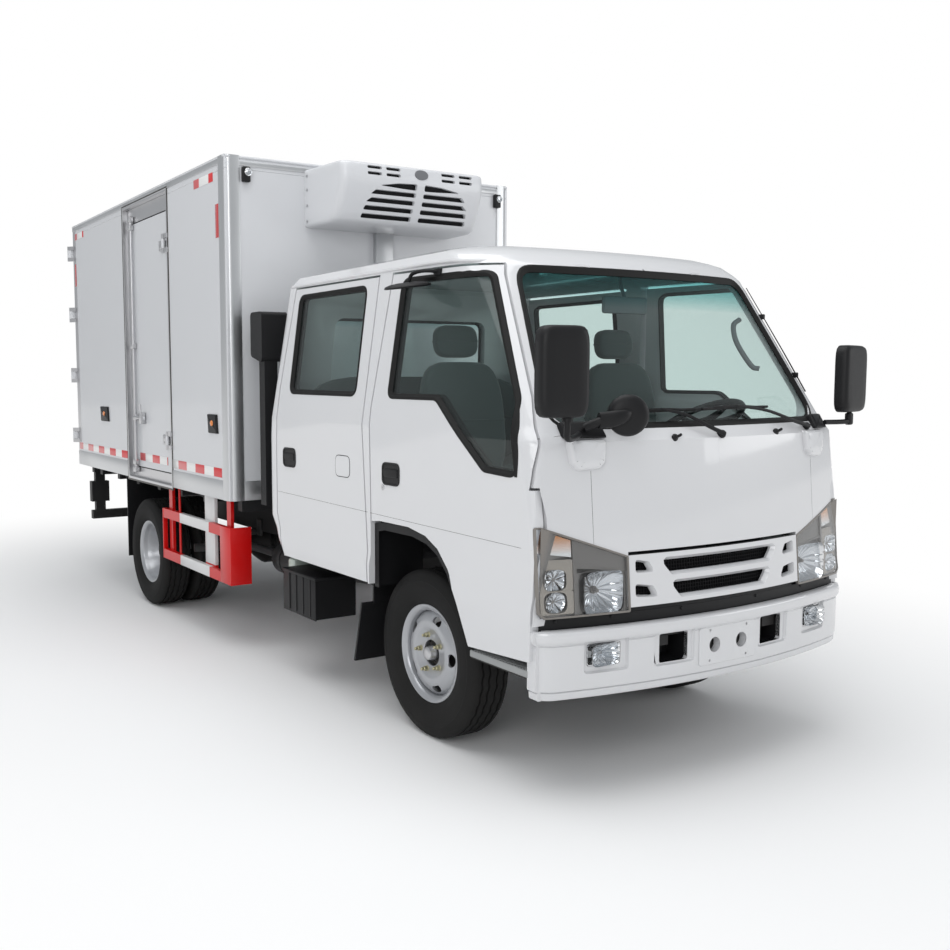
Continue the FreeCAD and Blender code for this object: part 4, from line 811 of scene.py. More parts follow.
def grille():
    piece = Shape().band(steps(-493, 493, 26), 735, 934, on_front, -26, 2, rows=8).done(
        "grille_panel", PAINT, replaces=["grille"])
    openings = Shape()
    for half, less, high, low in ((326, 284, 903, 856), (282, 240, 812, 764)):
        slot(openings, [(-half, high), (half, high), (less, low), (-less, low)], 10, 12)
    for side, _ in SIDES:
        for path in ([(-458, 908), (-404, 898), (-384, 868), (-458, 872)],
                     [(-462, 815), (-388, 804), (-369, 771), (-462, 779)]):
            slot(openings, [(side * u, v) for u, v in path], 6, 7)
    cut(piece, openings)
    rounded_edges(piece, 2, 30)
    mesh = Shape().band(steps(-480, 480, 16), 742, 928, on_front, -44, -40)
    for x in range(-470, 469, 14):
        mesh.band([x - 1.3, x + 1.3], 750, 920, on_front, -42, -32, rows=1)
    for z in range(752, 921, 14):
        mesh.band(steps(-472, 472, 12), z - 1.3, z + 1.3, on_front, -42, -33, rows=1)
    mesh.done("grille_mesh", DARK)
    lower = Shape().band(steps(-862, 862, 30), 604, 716, on_front, -40, -26, rows=2)
    lower.band(steps(-480, 480, 16), 716, 735, on_front, -40, -22, rows=1)
    for x in (-800, -560, -220, 220, 560, 800):
        lower.lathe([(0, 7), (3, 7), (4, 5), (4, 0)], on_front(x, 704, -26), "Y", 12, -1)
    lower.done("front_valance", PLASTIC, bevel=2)


def bumper_line(lift):
    """Plan line of the bumper from the right side round the front to the left, at a lift."""
    inner = BUMPER_HALF - BUMPER_CORNER
    start_x = CAB_PLAN_R * inner / (CAB_PLAN_R - BUMPER_CORNER)
    centre = BUMPER_FRONT_Y + CAB_PLAN_R - sqrt((CAB_PLAN_R - BUMPER_CORNER) ** 2 - inner ** 2)
    start = atan2(centre - BUMPER_FRONT_Y - CAB_PLAN_R, inner)
    half = [on_bumper(x, 0, lift)[:2] for x in steps(0, start_x, 18)]
    for t in steps(start, 0, 8)[1:]:
        half.append((inner + (BUMPER_CORNER + lift) * cos(t), centre + (BUMPER_CORNER + lift) * sin(t)))
    half.append((BUMPER_HALF + lift, BUMPER_BACK_Y))
    return [(-x, y) for x, y in half[:0:-1]] + half


def on_bumper(x, z, lift):
    t = asin(max(-0.25, min(0.25, x / CAB_PLAN_R)))
    return (x + lift * sin(t), BUMPER_FRONT_Y + CAB_PLAN_R - (CAB_PLAN_R + lift) * cos(t), z)


def bumper():
    section = [(406, -30), (406, -14), (412, -9), (434, -7), (438, -12), (442, -1), (448, 1), (612, 1), (615, -2),
               (619, 3), (626, 9), (634, 13), (656, 15), (667, 11), (672, 3), (672, -30)]
    lines = [(z, bumper_line(lift)) for z, lift in section]
    skin = Shape().loft([[(*line[i], z) for z, line in lines] for i in range(len(lines[0][1]))])
    piece = skin.done("bumper_skin", PAINT, replaces=["front_bumper"])
    drill = [(-30, 31), (60, 31)]
    for side, word in SIDES:
        recess = rectangle(side * 215, side * 360, 503, 617)
        for outline, radius, cuts in (
                (rectangle(side * 512, side * 706, 500, 628), 16, ((1, 8), (0, 0.5), (-7, -11))),
                (rectangle(side * 542, side * 690, 525, 612), 12, ((0, 2), (0, -50))),
                (rectangle(side * 188, side * 392, 494, 626), 16, ((1, 8), (0, 0.5), (-6, -9))),
                (recess, 10, ((0, 2), (0, -50)))):
            path = rounded(outline, radius, 4)
            cut(piece, Shape().loft(layers(divided(path, 50) if len(cuts) > 2 else path, cuts, on_bumper)))
        cut(piece, Shape().lathe(drill, (side * TOW_X, BUMPER_FRONT_Y, TOW_Z), "Y", 32))
        Shape().moulding(rounded(recess, 8, 4), ((0, -12), (4, -12), (4, -118), (-60, -118), (-60, -116), (0, -116)),
                         on_bumper).slab((side * 287 - 14, -905, 520), (side * 287 + 14, -885, 600), 4).done(
            "tow_recess_" + word, DARK)
        lamp, outline = Shape(), rectangle(side * 544, side * 688, 527, 610)
        bowl(lamp, 616, 568, 42, 14, -950, -912, 12, side, 1.62)
        lamp.moulding(rounded(outline, 12, 4), ((0, -12), (-3, -12), (-8, -30), (-20, -45), (-20, -48), (0, -48)),
                      on_bumper).done("fog_reflector_" + word, CHROME, sharp=50)
        Shape().loft(layers(rounded(outline, 14, 5), ((-1, -26), (-1, -14), (-5, -11), (-30, -9)), on_bumper)).done(
            "fog_cover_" + word, LENS)
    plate = Shape().pad(rounded(rectangle(-165, 165, 466, 619), 14, 4), [(0, -2), (0, 4), (-2, 6)], on_bumper).done(
        "plate_pad", PAINT)
    for x in (-TOW_X, TOW_X):
        cut(plate, Shape().lathe(drill, (x, BUMPER_FRONT_Y, TOW_Z), "Y", 32))
    for x in (-107, 107):
        for z in (483, 607):
            cut(plate, Shape().lathe([(-30, 5), (30, 5)], (x, BUMPER_FRONT_Y, z), "Y", 16))
    rounded_edges(plate, 1.5, 30, 1)
    beam = Shape().slab((-150, BUMPER_FRONT_Y + 34, 470), (150, BUMPER_FRONT_Y + 40, 640))
    for x in (-360, 280):
        beam.slab((x, -940, 560), (x + 80, -900, 680))
    beam.done("bumper_beam", BLACK_PAINT)


# Front panel details
def groove_shade(shape, start, end, where, radius=1.1):
    """Thin dark line sunk along the surface; its black colour is painted shade for grooves, creases and joints."""
    count = max(1, int(hypot(end[0] - start[0], end[1] - start[1]) / 60))
    path = [where(u, v, -0.9) for u, v in zip(steps(start[0], end[0], count), steps(start[1], end[1], count))]
    shape.tube(path, radius, sides=6, smooth=False)


def front_details():
    # Dark lines on the front panel: painted shade in its shallow grooves and joints.
    lines = Shape()
    for side, _ in SIDES:
        groove_shade(lines, (side * 644, 987), (side * 644, 1262), on_front)
        groove_shade(lines, (side * 702, 1400), (side * 846, 1385), on_front)
    groove_shade(lines, (-493, 936), (493, 936), on_front, 1.4)
    lines.done("panel_groove_shade", DARK)
    Shape().band([-7, -3, 3, 7], 1266, 1404, on_front, -22, 0.3, rows=8).done("panel_joint", PAINT)
    for side, word in SIDES:
        where = on_front_side(side)
        path = divided(rounded([(584, 1380), (744, 1376), (732, 1292), (706, 1264), (614, 1270), (592, 1294)],
                               [14, 14, 20, 20, 20, 20], 5), 30)
        loops = layers(path, [(3, -3), (1, 8), (-2, 17), (-7, 22), (-14, 24), (-26, 25), (-40, 25.5)], where)
        middle = where(664, 1324, 26)
        for share in (0.4, 0.8, 0.98):
            loops.append([tuple(a + (b - a) * share for a, b in zip(p, middle)) for p in loops[6]])
        Shape().loft(loops, foot=False).done("mirror_base_cover_" + word, PAINT, sharp=60)
    for x, z, word in ((-244, 1376, "right"), (376, 1380, "left")):
        c = on_front(x, z, 0)
        Shape().lathe([(-2, 15), (4, 15), (7, 13), (9, 7), (9, 0)], c, "Y", 24, -1).tube(
            [Vector(c) + Vector(way) for way in ((0, -6, 2), (14, -14, 9), (22, -12, 12))], 6, 8).done(
            "washer_jet_" + word, PLASTIC)
    for side, word in SIDES:
        path = ((-482, 2072), (-330, 2090), (-60, 2102), (400, 2106), (900, 2106), (1296, 2104))
        Shape().tube([on_side(side)(y, z, 3) for y, z in path], 7.5, 8).done("drip_rail_" + word, PAINT, sharp=60)


def side_lines():
    """Dark line along the crease of the doors, painted shade in the crease."""
    for side, word in SIDES:
        for body in ("door_front_" + word, "door_rear_" + word):
            low, high = (1000 * v.y + MIDDLE_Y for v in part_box(body))
            line = Shape()
            groove_shade(line, *[(y, 975 + (y + 846) * 0.0117) for y in (max(low, -838) + 4, high - 4)], on_side(side), 1.3)
            # The black line is painted shade where the door's crease turns away from the light.
            line.done("crease_shade_" + body[5:], DARK, body)


def arch_linings():
    """Black lining along the edge of each front wheel arch."""
    inner = [(288, 640), (288, 905), (236, 916), (4, 917), (-112, 898), (-192, 860), (-262, 792), (-338, 664),
             (-410, 522)]
    for side, word in SIDES:
        loops = []
        for (y0, z0), (y1, z1) in zip(ARCH, inner):
            dy, dz = (y1 - y0) * 0.08, (z1 - z0) * 0.08
            edge, deep = (y0 + dy, z0 + dz), (y0 + 3 * dy, z0 + 3 * dz)
            loops.append([(side * x, *at) for x, at in ((872, edge), (872, (y1, z1)), (868, (y1, z1)), (866, deep),
                                                        (606, deep), (606, edge))])
        Shape().loft(loops).slab((side * 606, -330, 790), (side * 602, 322, 950)).done(
            "arch_lining_" + word, PLASTIC, sharp=40)


# Mirrors and wipers
MIRROR_POWER = 47 / 7


def mirror_shell(centre, width, height, depth, angle):
    """Head with a domed back towards the front and a flat glass towards the rear."""
    turn = Matrix.Rotation(radians(angle), 4, "Z")
    base = [(superellipse(t, MIRROR_POWER) * cos(t) * width / 2,
             superellipse(t, MIRROR_POWER) * sin(t) * height / 2) for t in turns(56)]

    def ring(scale, y):
        turned = (turn @ Vector((u * scale, y, v * (1 - (1 - scale) * width / height))) for u, v in base)
        return [tuple(a + b for a, b in zip(centre, q)) for q in turned]

    d = depth / 2
    shell = Shape().loft([ring(0.93, d - 5), ring(0.97, d), ring(1.0, d - 3), ring(1.0, 0), ring(0.985, -d * 0.45),
                          ring(0.93, -d * 0.78), ring(0.78, -d * 0.95), ring(0.45, -d)])
    return shell, Shape().loft([ring(0.92, d - 6), ring(0.92, d - 3.5)])


def foot_plate(x0, x1, side):
    path = divided(rounded([(x0, 1384), (x1, 1384), (x1 - 4, 1438), (x0 + 8, 1440)], 10, 4), 25)
    return Shape().pad(path, [(0, -3), (0, 16), (-4, 22), (-12, 25)], on_front_side(side))


def mirrors():
    shell, glass = mirror_shell((-893, -1000, 1632), 198, 325, 62, -10)
    shell.merged(foot_plate(572, 752, -1))
    shell.tube([(-868, -997, 1480), (-868, -997, 1428), (-862, -990, 1400), (-830, -970, 1392), (-770, -925, 1394),
                (-700, -872, 1400)], 12, 14)
    shell.lathe([(-18, 19), (0, 19), (8, 16)], (-868, -997, 1474), "Z", 20)
    shell.tube([(-668, -868, 1424), (-650, -885, 1436), (-622, -908, 1450)], [16, 18], 12)
    disc = Shape().lathe([(-22, 0), (-21, 30), (-18, 56), (-12, 70), (-4, 77), (6, 80), (12, 78), (14, 72), (10, 70),
                          (10, 0)], (0, 0, 0), "Y")
    shell.merged(disc.moved((-508, -930, 1469), -34, "Z"))
    arm = [(-632, -905, 1452, 30, 15), (-590, -928, 1456, 32, 17), (-550, -952, 1466, 26, 15),
           (-518, -952, 1474, 16, 8)]
    shell.loft([[(x + 3 * cos(a), y + deep * cos(a), z + tall * sin(a)) for a in turns(20)]
                for x, y, z, tall, deep in arm])
    shell.done("mirror_right_shell", PLASTIC, sharp=45, replaces=["mirrors"])
    glass.done("mirror_right_glass", MIRROR)
    shell, glass = mirror_shell((915, -880, 1602), 225, 300, 60, 12)
    shell.merged(foot_plate(694, 798, 1))
    shell.tube([(904, -880, 1462), (905, -884, 1440), (903, -884, 1416), (860, -880, 1410), (760, -862, 1410)],
               11, 14)
    shell.slab((888, -896, 1395), (920, -868, 1450), 8)
    shell.done("mirror_left_shell", PLASTIC, sharp=45)
    glass.done("mirror_left_glass", MIRROR)


def kerb_mirror():
    """Oval mirror clamped to the top of the right front door's frame."""
    top = on_side(-1)(-110, 2062, 4)[0]
    shape = Shape().slab((top - 10, -134, 2046), (top + 12, -86, 2074), 4)
    shape.tube([(top - 6, -108, 2060), (-850, -100, 2064), (-884, -72, 2062), (-902, -40, 2050), (-908, -27, 2022)],
               8, 10)
    dish = Shape().lathe([(15, 0), (14, 42), (10, 74), (3, 93), (-4, 98), (-8, 95), (-6, 89), (-6, 0)],
                         (0, 0, 0), "Z")
    shape.merged(dish.moved((-912, -25, 2004), -7, "Y", (1.12, 0.84, 1))).done("kerb_mirror_shell", PLASTIC, "door_front_right", sharp=45)


def wiper(pivot, grip, blade, word, replaces=()):
    """Arm from its pivot to the blade, which lies along the glass."""
    (px, pz), (gx, gz) = pivot, grip
    shape = Shape().lathe([(-4, 17), (12, 17), (16, 15), (18, 9), (20, 9), (22, 6), (22, 0)], on_front(px, pz, 2),
                          "Y", 24, -1)
    shape.tube([on_front(px, pz, 24), on_front(px + (gx - px) * 0.25, pz + (gz - pz) * 0.3, 30),
                on_front(px + (gx - px) * 0.6, pz + (gz - pz) * 0.7, 26), on_front(gx, gz, 19)], [9.5, 5], 8)
    for lift, radius in ((6, 6.0), (-3.5, 3.2)):
        shape.tube([on_front(x, z, lift) for x, z in blade], radius, 6)
    for share in (0.06, 0.3, 0.7, 0.94):
        x, z = (a + (b - a) * share for a, b in zip(blade[0], blade[-1]))
        shape.tube([on_front(x + dx, z, lift) for dx, lift in ((-10, -1), (-6, 8), (6, 8), (10, -1))], 4, 6)
    bow = ((-130, 8), (-60, 15), (0, 17), (60, 15), (130, 8))
    shape.tube([on_front(gx + dx, gz, lift) for dx, lift in bow], 5, 6)
    shape.done("wiper_" + word + "_arm", PLASTIC, sharp=50, replaces=replaces)


def wipers():
    wiper((12, 1383), (-265, 1478), [(-520, 1474), (-400, 1476), (-265, 1478), (-40, 1480)], "right", ["wipers"])
    wiper((631, 1396), (170, 1483), [(-30, 1480), (100, 1482), (200, 1483), (400, 1482)], "left")
    line = [(778, 1545), (762, 1700), (748, 1800), (735, 1892), (716, 2030)]
    shape = Shape().tube([(x, front_y(x, z) - 16, z) for x, z in line], [3.4, 2.0], 8)
    for x, z in ((770, 1620), (735, 1892)):
        shape.slab((x - 9, front_y(x, z) - 22, z - 12), (x + 9, front_y(x, z) + 6, z + 12), 4)
    shape.done("aerial", PLASTIC)


# Cab interior
def cushion(name, centre, size, tilt, power=0.42):
    """Crowned pad with a piped edge."""
    grow = lambda v, e: copysign(abs(v) ** e, v)
    shape = Shape()
    loops = []
    for a in steps(-pi / 2, pi / 2, 14)[1:-1]:
        reach = grow(cos(a), power)
        loops.append([(size[0] / 2 * reach * grow(cos(t), power), size[1] / 2 * reach * grow(sin(t), power),
                       size[2] / 2 * grow(sin(a), 0.75)) for t in turns(40)])
    shape.loft(loops)
    shape.tube([(size[0] / 2 * grow(cos(t), power) * 1.005, size[1] / 2 * grow(sin(t), power) * 1.005, 0)
                for t in steps(0, 2 * pi, 48)], 3.5, 6, smooth=False)
    piece = shape.moved(centre, tilt, "X").done(name, CLOTH, sharp=60, replaces=["cab_seats"])


def interior():
    for side, word in SIDES:
        cushion("seat_pad_" + word, (side * 500, -130, 1070), (450, 460, 118), 3)
        cushion("seat_back_" + word, (side * 500, 140, 1410), (450, 100, 560), -8)
        cushion("seat_rest_" + word, (side * 500, 204, 1782), (232, 70, 150), -6)
    cushion("bench_pad", (0, 945, 950), (1500, 440, 300), 2, power=0.3)
    cushion("bench_back", (0, 1238, 1370), (1500, 90, 510), -8, power=0.3)
    wheel = Shape().loft([[(cos(t) * (205 + 14 * cos(a)), sin(t) * (205 + 14 * cos(a)),
                            14 * sin(a)) for a in turns(12)] for t in turns(64)], closed=True)
    wheel.lathe([(-46, 0), (-46, 36), (-20, 62), (-4, 66), (2, 58), (4, 0)], (0, 0, 0), "Z", 32)
    for t in (200, 340, 270):
        c, n = cos(radians(t)), sin(radians(t))
        wheel.tube([(c * r, n * r, z) for r, z in ((40, -10), (120, -12), (200, 0))], [17, 11])
    wheel.moved((430, -440, 1400), -30, "X").done("steering_wheel_rim", PLASTIC, "steering_wheel", sharp=50, replaces=["steering_wheel"])
    Shape().slab((-150, -415, 1890), (110, -392, 1965), 10).tube(
        [(-20, -404, 1960), (-20, -380, 2010), (-20, -370, 2060)], 8, 8).done("inside_mirror", GREY_PLASTIC)
    Shape().tube([(655, -585, 1650), (630, -560, 1665), (600, -500, 1770), (610, -470, 1850), (650, -470, 1880)],
                 12).done("grab_handle", GREY_PLASTIC)


# Box body
def box_trim():
    rails, posts, edge, tape, marks = (Shape() for _ in range(5))
    for side, _ in SIDES:
        a, b = side * BOX_HALF, side * (BOX_HALF + 4)
        front, rear = BOX_FRONT_Y + 60, BOX_REAR_Y - 4
        for y0, y1 in ([(front, SIDE_DOOR_Y[0]), (SIDE_DOOR_Y[1], rear)] if side < 0 else [(front, rear)]):
            for low, top in (LOW_RAIL_Z, TOP_RAIL_Z):
                rails.slab((a, y0, low), (b, y1, top), 1.5)
        if side < 0:
            rails.slab((a, SIDE_DOOR_Y[0], TOP_RAIL_Z[0]), (b, SIDE_DOOR_Y[1], TOP_RAIL_Z[1]), 1.5)
    end = BOX_HALF - 86
    rails.slab((-end, BOX_FRONT_Y - 4, LOW_RAIL_Z[0]), (end, BOX_FRONT_Y, LOW_RAIL_Z[1]), 1.5)
    rails.slab((-end, BOX_FRONT_Y - 5, BOX_TOP_Z - 60), (end, BOX_FRONT_Y, BOX_TOP_Z - 34), 2)
    rails.done("box_rails", ALUMINIUM, sharp=30)
    for side, _ in SIDES:
        path = [(-88, -1), (-88, -5), (-80, -6)]
        path += [(-40 + 46 * sin(t), 40 - 46 * cos(t)) for t in steps(0, pi / 2, 8)]
        path += [(6, 80), (5, 88), (1, 88), (-2, 84), (-4, 4)]
        posts.loft([[(side * (BOX_HALF + x), BOX_FRONT_Y + y, z) for x, y in path]
                    for z in (BOX_LOW_Z, BOX_TOP_Z - 3)])
        x, z = side * (BOX_HALF - 3), BOX_TOP_Z - 9
        edge.tube([(x, BOX_FRONT_Y + 10, z), (x, BOX_REAR_Y, z)], 8.5, 12, smooth=False)
    posts.done("box_corner_posts", ALUMINIUM, sharp=40)
    edge.tube([(x, BOX_FRONT_Y + 4, BOX_TOP_Z - 12) for x in (4 - BOX_HALF, BOX_HALF - 4)], 9, 12, smooth=False)
    edge.done("box_top_edge", PANEL, sharp=60)
    for side, _ in SIDES:
        a, b = side * (BOX_HALF + 0.2), side * (BOX_HALF + 1.6)
        low = [(1850, 2694), (3606, 4930)] if side < 0 else [(1850, 4930)]
        high = [(1910, 2210, 2745, 2797), (4640, 4890, 2752, 2800)]
        for y0, y1, z0, z1 in [(*span, *TAPE_Z) for span in low] + high:
            tape.slab((a, y0, z0), (b, y1, z1), 0.3)
        marks.slab((a, 1826, 2420), (b, 1880, 2610), 0.3).slab((a, 4880, 2380), (b, 4925, 2560), 0.3)
    tape.slab((-BOX_HALF + 30.4, 2860, TAPE_Z[0]), (-BOX_HALF + 31.6, 3440, TAPE_Z[1]), 0.3)
    tape.done("reflective_strips", TAPE)
    marks.done("red_strips", RED_LENS)


def box_lamps():
    """Lamps on the side walls and on the front wall, and the cover of the unit's pipes."""
    for side, word in SIDES:
        body, lens = Shape(), Shape()
        for y0, y1 in ((1890, 2046), (4062, 4276)):
            body.pad(rounded([(y0, 1292), (y1 - 14, 1292), (y1, 1404), (y0 + 14, 1404)], 6, 3),
                     [(0, 0), (0, 7), (-4, 10), (-14, 11)], on_plane("X", side * BOX_HALF, side))
            lens.lathe([(8, 18), (16, 16), (20, 8), (20, 0)], (side * BOX_HALF, (y0 + y1) / 2, 1352), "X", 20, side)
        body.done("side_lamp_" + word, PLASTIC, bevel=1)
        lens.done("side_lamp_lens_" + word, AMBER)
    body, lens, bowls = Shape(), Shape(), Shape()
    for x in (-877, 905):
        centre = (x + 8, BOX_FRONT_Y, 2776)
        body.slab((x - 24, BOX_FRONT_Y - 30, 2722), (x + 24, BOX_FRONT_Y, 2806), 6)
        lens.lathe([(28, 20), (40, 18), (46, 10), (48, 0)], centre, "Y", 24, -1)
        bowls.lathe([(26, 22), (33, 22), (34, 20), (32, 17), (30.5, 0)], centre, "Y", 24, -1)
    body.done("marker_lamps", PLASTIC, bevel=1)
    bowls.done("marker_bowls", CHROME)
    lens.done("marker_lenses", LENS)
    shape = Shape().slab((-30, BOX_FRONT_Y - 40, 1244), (92, BOX_FRONT_Y, 2500), 4)
    for z in (1400, 1800, 2200):
        shape.slab((-36, BOX_FRONT_Y - 43, z), (98, BOX_FRONT_Y, z + 26), 2)
    shape.done("pipe_cover", ALUMINIUM, bevel=0.5)


def side_door():
    x = -BOX_HALF + 32
    Shape().moulding(rounded(rectangle(2785, 3505, 991, 2703), 8, 3), [(0, -14), (0, -1), (9, -1), (10, -14)],
                     on_plane("X", x, -1)).done("side_door_seal", RUBBER, bevel=1)
    wall, frame_path = on_plane("X", -BOX_HALF, -1), rectangle(2700, 3600, BOX_LOW_Z + 5, 2815)
    Shape().moulding(frame_path, [(15.5, -1), (15.5, 4.5), (25, 4.5), (26, -1)], wall).done(
        "side_door_edging", surface("bronze_trim", (0.05, 0.045, 0.04), 0.35, metal=0.6), bevel=0.8)
    Shape().moulding(frame_path, [(-2, -28), (-2, 3.5), (14, 3.5), (16, 0), (16, -1), (0, -1), (0, -28)], wall).done(
        "side_door_surround", STEEL, bevel=0.8)
    metal = Shape()
    for z in (1210, 2487):
        metal.slab((x - 16, 2800, z - 34), (x - 1, 2905, z + 34), 4)
        metal.slab((x - 22, 2760, z - 24), (x - 2, 2812, z + 24), 5)
        for y in (2830, 2880):
            for dz in (-18, 18):
                metal.lathe([(14, 6), (19, 6), (20, 3), (20, 0)], (x, y, z + dz), "X", 12, -1)
    metal.tube([(x - 19, 3480, 950), (x - 19, 3480, 2745)], 12, 14, smooth=False)
    for z in (968, 1022, 1850, 2680, 2736):
        metal.slab((x - 36, 3455, z - 20), (x - 2, 3505, z + 20), 5)
    metal.slab((x - 30, 3452, 1320), (x - 4, 3500, 1364), 5)
    metal.tube([(x - 24, 3478, 1342), (x - 34, 3400, 1342), (x - 34, 3290, 1338)], [10, 8])
    metal.slab((x - 40, 3296, 1300), (x - 2, 3336, 1380), 5)
    metal.tube([(x - 34, 3312, 1372), (x - 38, 3312, 1440)], 7, 8)
    metal.done("side_door_fittings", STEEL, "box_side_door", bevel=0.6)


UNIT_LEVELS = [(2495, 1530, 30), (2496, 1490, 18), (2500, 1462, 8), (2508, 1444, 2), (2520, 1430, 0), (2550, 1411, 0),
               (2600, 1387, 0), (2650, 1366, 0), (2700, 1348, 0), (2724, 1341, 0), (2745, 1338, 0), (2790, 1340, 0),
               (2812, 1344, 0), (2822, 1350, 3), (2827, 1360, 9), (2829, 1374, 20)]
UNIT_FRONT_Y = 1336
UNIT_MIDDLE_X = 62
UNIT_SIDES = ((499, 42), (533, 13))


def cooling_unit():
    """Shell with a front that leans back below, louvres in two columns, and the cooler inside the box."""
    def ring(z, front, tuck, soft=60):
        (right, right_front), (left, left_front) = [
            [wide - taper * (BOX_FRONT_Y - y) / (BOX_FRONT_Y - UNIT_FRONT_Y) - tuck for y in (BOX_FRONT_Y, front)]
            for wide, taper in UNIT_SIDES]
        corners = [(-right, BOX_FRONT_Y), (-right_front, front), (left_front, front), (left, BOX_FRONT_Y)]
        return [(u, v, z) for u, v in rounded(corners, [0.1, soft, soft, 0.1], 8)]

    def face_y(z):
        return along([level[:2] for level in UNIT_LEVELS], z)

    def louvre(points, radii):
        path = rounded([(UNIT_MIDDLE_X + u, v) for u, v in points], radii, 4)
        openings.loft(layers(path, ((2, 12), (0, -1), (0, -26)), lambda u, v, lift: (u, face_y(v) - lift, v)))

    piece = Shape().loft([ring(*level) for level in UNIT_LEVELS]).done(
        "unit_shell", PANEL, sharp=40, replaces=["reefer_unit"])
    cooler = Shape().slab((-520, 1814, 2562), (520, 2074, 2790), 20)
    for x in (-300, 0, 300):
        cooler.lathe([(0, 118), (8, 118), (10, 108), (4, 104), (4, 0)], (x, 2074, 2672), "Y", 40)
    cooler.done("cooler_housing", PANEL, sharp=40)
    openings = Shape()
    for side, _ in SIDES:
        for x0, x1 in ((142, 238), (268, 362)):
            for z in (2768, 2802):
                louvre(rectangle(side * x0, side * x1, z - 8.5, z + 8.5), 7.5)
        louvre([(side * 26, 2697), (side * 120, 2699), (side * 266, 2706), (side * 266, 2709), (side * 150, 2727),
                (side * 26, 2733)], [12, 30, 1.2, 1.2, 40, 13])
        for z, reach, lean, blunt in ((2671, 328, 30, 3), (2628, 352, 34, 3), (2585, 362, 14, 9), (2542, 366, 6, 11)):
            louvre([(side * 26, z - 12.5), (side * reach, z - 12.5), (side * (reach - lean), z + 12.5),
                    (side * 26, z + 12.5)], [10, blunt, 11, 10])
    cut(piece, openings)
    Shape().loft([ring(z, y + 22, tuck + 26, 40) for z, y, tuck in UNIT_LEVELS[2:-2]]).done("unit_inside", DARK)
    oval = [(UNIT_MIDDLE_X + 46 * cos(t), 2787 + 29 * sin(t)) for t in turns(48)]
    Shape().loft(layers(oval, ((0, -4), (0, 3), (-2, 5), (-6, 5)),
                        lambda u, v, lift: (u, face_y(v) - lift, v))).done("unit_badge", GREY_PLASTIC)
    caps = Shape()
    for x, side in ((-497, -1), (531, 1)):
        for z in (2530, 2620, 2710, 2790):
            caps.lathe([(0, 8), (3, 8), (4, 5), (4, 0)], (x, 1706, z), "X", 12, side)
    caps.done("unit_screws", STEEL)


def guard_paint():
    """Side guard with white bars in its middle and a plate at its front end."""
    for side, word in SIDES:
        a, b, x = side * 944.6, side * 976.4, side * 952
        white = Shape().slab((a, 2139, 675), (b, 2643, GUARD_Z[1]), 2).slab((a, 2139, GUARD_Z[0]), (b, 2643, 461), 2)
        white.slab((side * 924.5, 2113, 470), (side * 946, 2272, BOX_LOW_Z - 2), 2)
        low, top = GUARD_Z
        red = Shape().slab((a, 1806, low), (b, 1962, top), 4)
        red.slab((side * 840, 1802, low), (side * 976, 1812, top), 3).slab((a, 2961, low), (b, 2976, top), 3)
        red.tube([(x, 2697, 700), (x, 2700, 900)], 8, 8, smooth=False)
        red.tube([(x, 2697, 460), (x, 2697, 676)], 8, 8, smooth=False)
        red.done("guard_end_" + word, RED)
        white.done("guard_white_" + word, WHITE)


# Chassis pieces
def springs():
    leaves = Shape()
    for side, _ in SIDES:
        for mid, half, low, thick, near, far, count, rise in ((0, 560, 372.5, 10, 316, 384, 3, 98),
                                                              (WHEELBASE, 610, 440.5, 11, 391, 459, 4, 80)):
            a, b = sorted((side * near, side * far))
            top = low + count * thick
            for k in range(count):
                reach = half * (1 - 0.16 * (count - 1 - k))
                loops = []
                for t in steps(-1, 1, 16):
                    y, z = mid + reach * t, low + rise * (reach * t / half) ** 2 + k * thick
                    loops.append([(a, y, z), (b, y, z), (b, y, z + thick - 1), (a, y, z + thick - 1)])
                leaves.loft(loops)
            for y in (mid - half, mid + half):
                c = (side * (near + far) / 2, y, top + rise - 8)
                leaves.lathe([(-36, 22), (36, 22), (36, 12), (-36, 12)], c, "X", 24, closed=True)
                leaves.lathe([(-46, 0), (-46, 11), (46, 11), (46, 0)], c, "X", 16)
                leaves.slab((side * (RAIL_HALF - 4), y - 34, c[2] - 30), (side * (RAIL_HALF + 14), y + 34, 640), 5)
            for y in (mid - 60, mid + 60):
                for x in (near - 8, far + 8):
                    leaves.tube([(side * x, y, low - 14), (side * x, y, top + 14)], 7, 8, smooth=False)
            leaves.slab((side * (near - 16), mid - 76, top), (side * (far + 16), mid + 76, top + 14), 3)
    leaves.done("spring_leaves", SPRING, replaces=["leaf_springs"])


def exhaust():
    pipe = Shape()
    x, y, z = SILENCER
    pipe.tube([(-198, 640, z), (-300, 720, z), (-420, 1000, z), (x, y - 340, z)], 27, 16)
    pipe.tube([(x, y + 340, z), (x, 2420, z), (-600, 2560, z), (-880, 2640, z)], 27, 16)
    pipe.lathe([(-350, 60), (-350, 96), (-342, 100), (342, 100), (350, 96), (350, 60)], SILENCER, "Y", 32)
    for strap_y in (y - 250, y + 250):
        pipe.lathe([(-14, 101), (-14, 104), (14, 104), (14, 101)], (x, strap_y, z), "Y", 32, closed=True)
    pipe.slab((x - 14, y - 150, z + 96), (-RAIL_HALF, y - 110, z + 136), 4)
    pipe.done("silencer", TANK, replaces=["exhaust"])


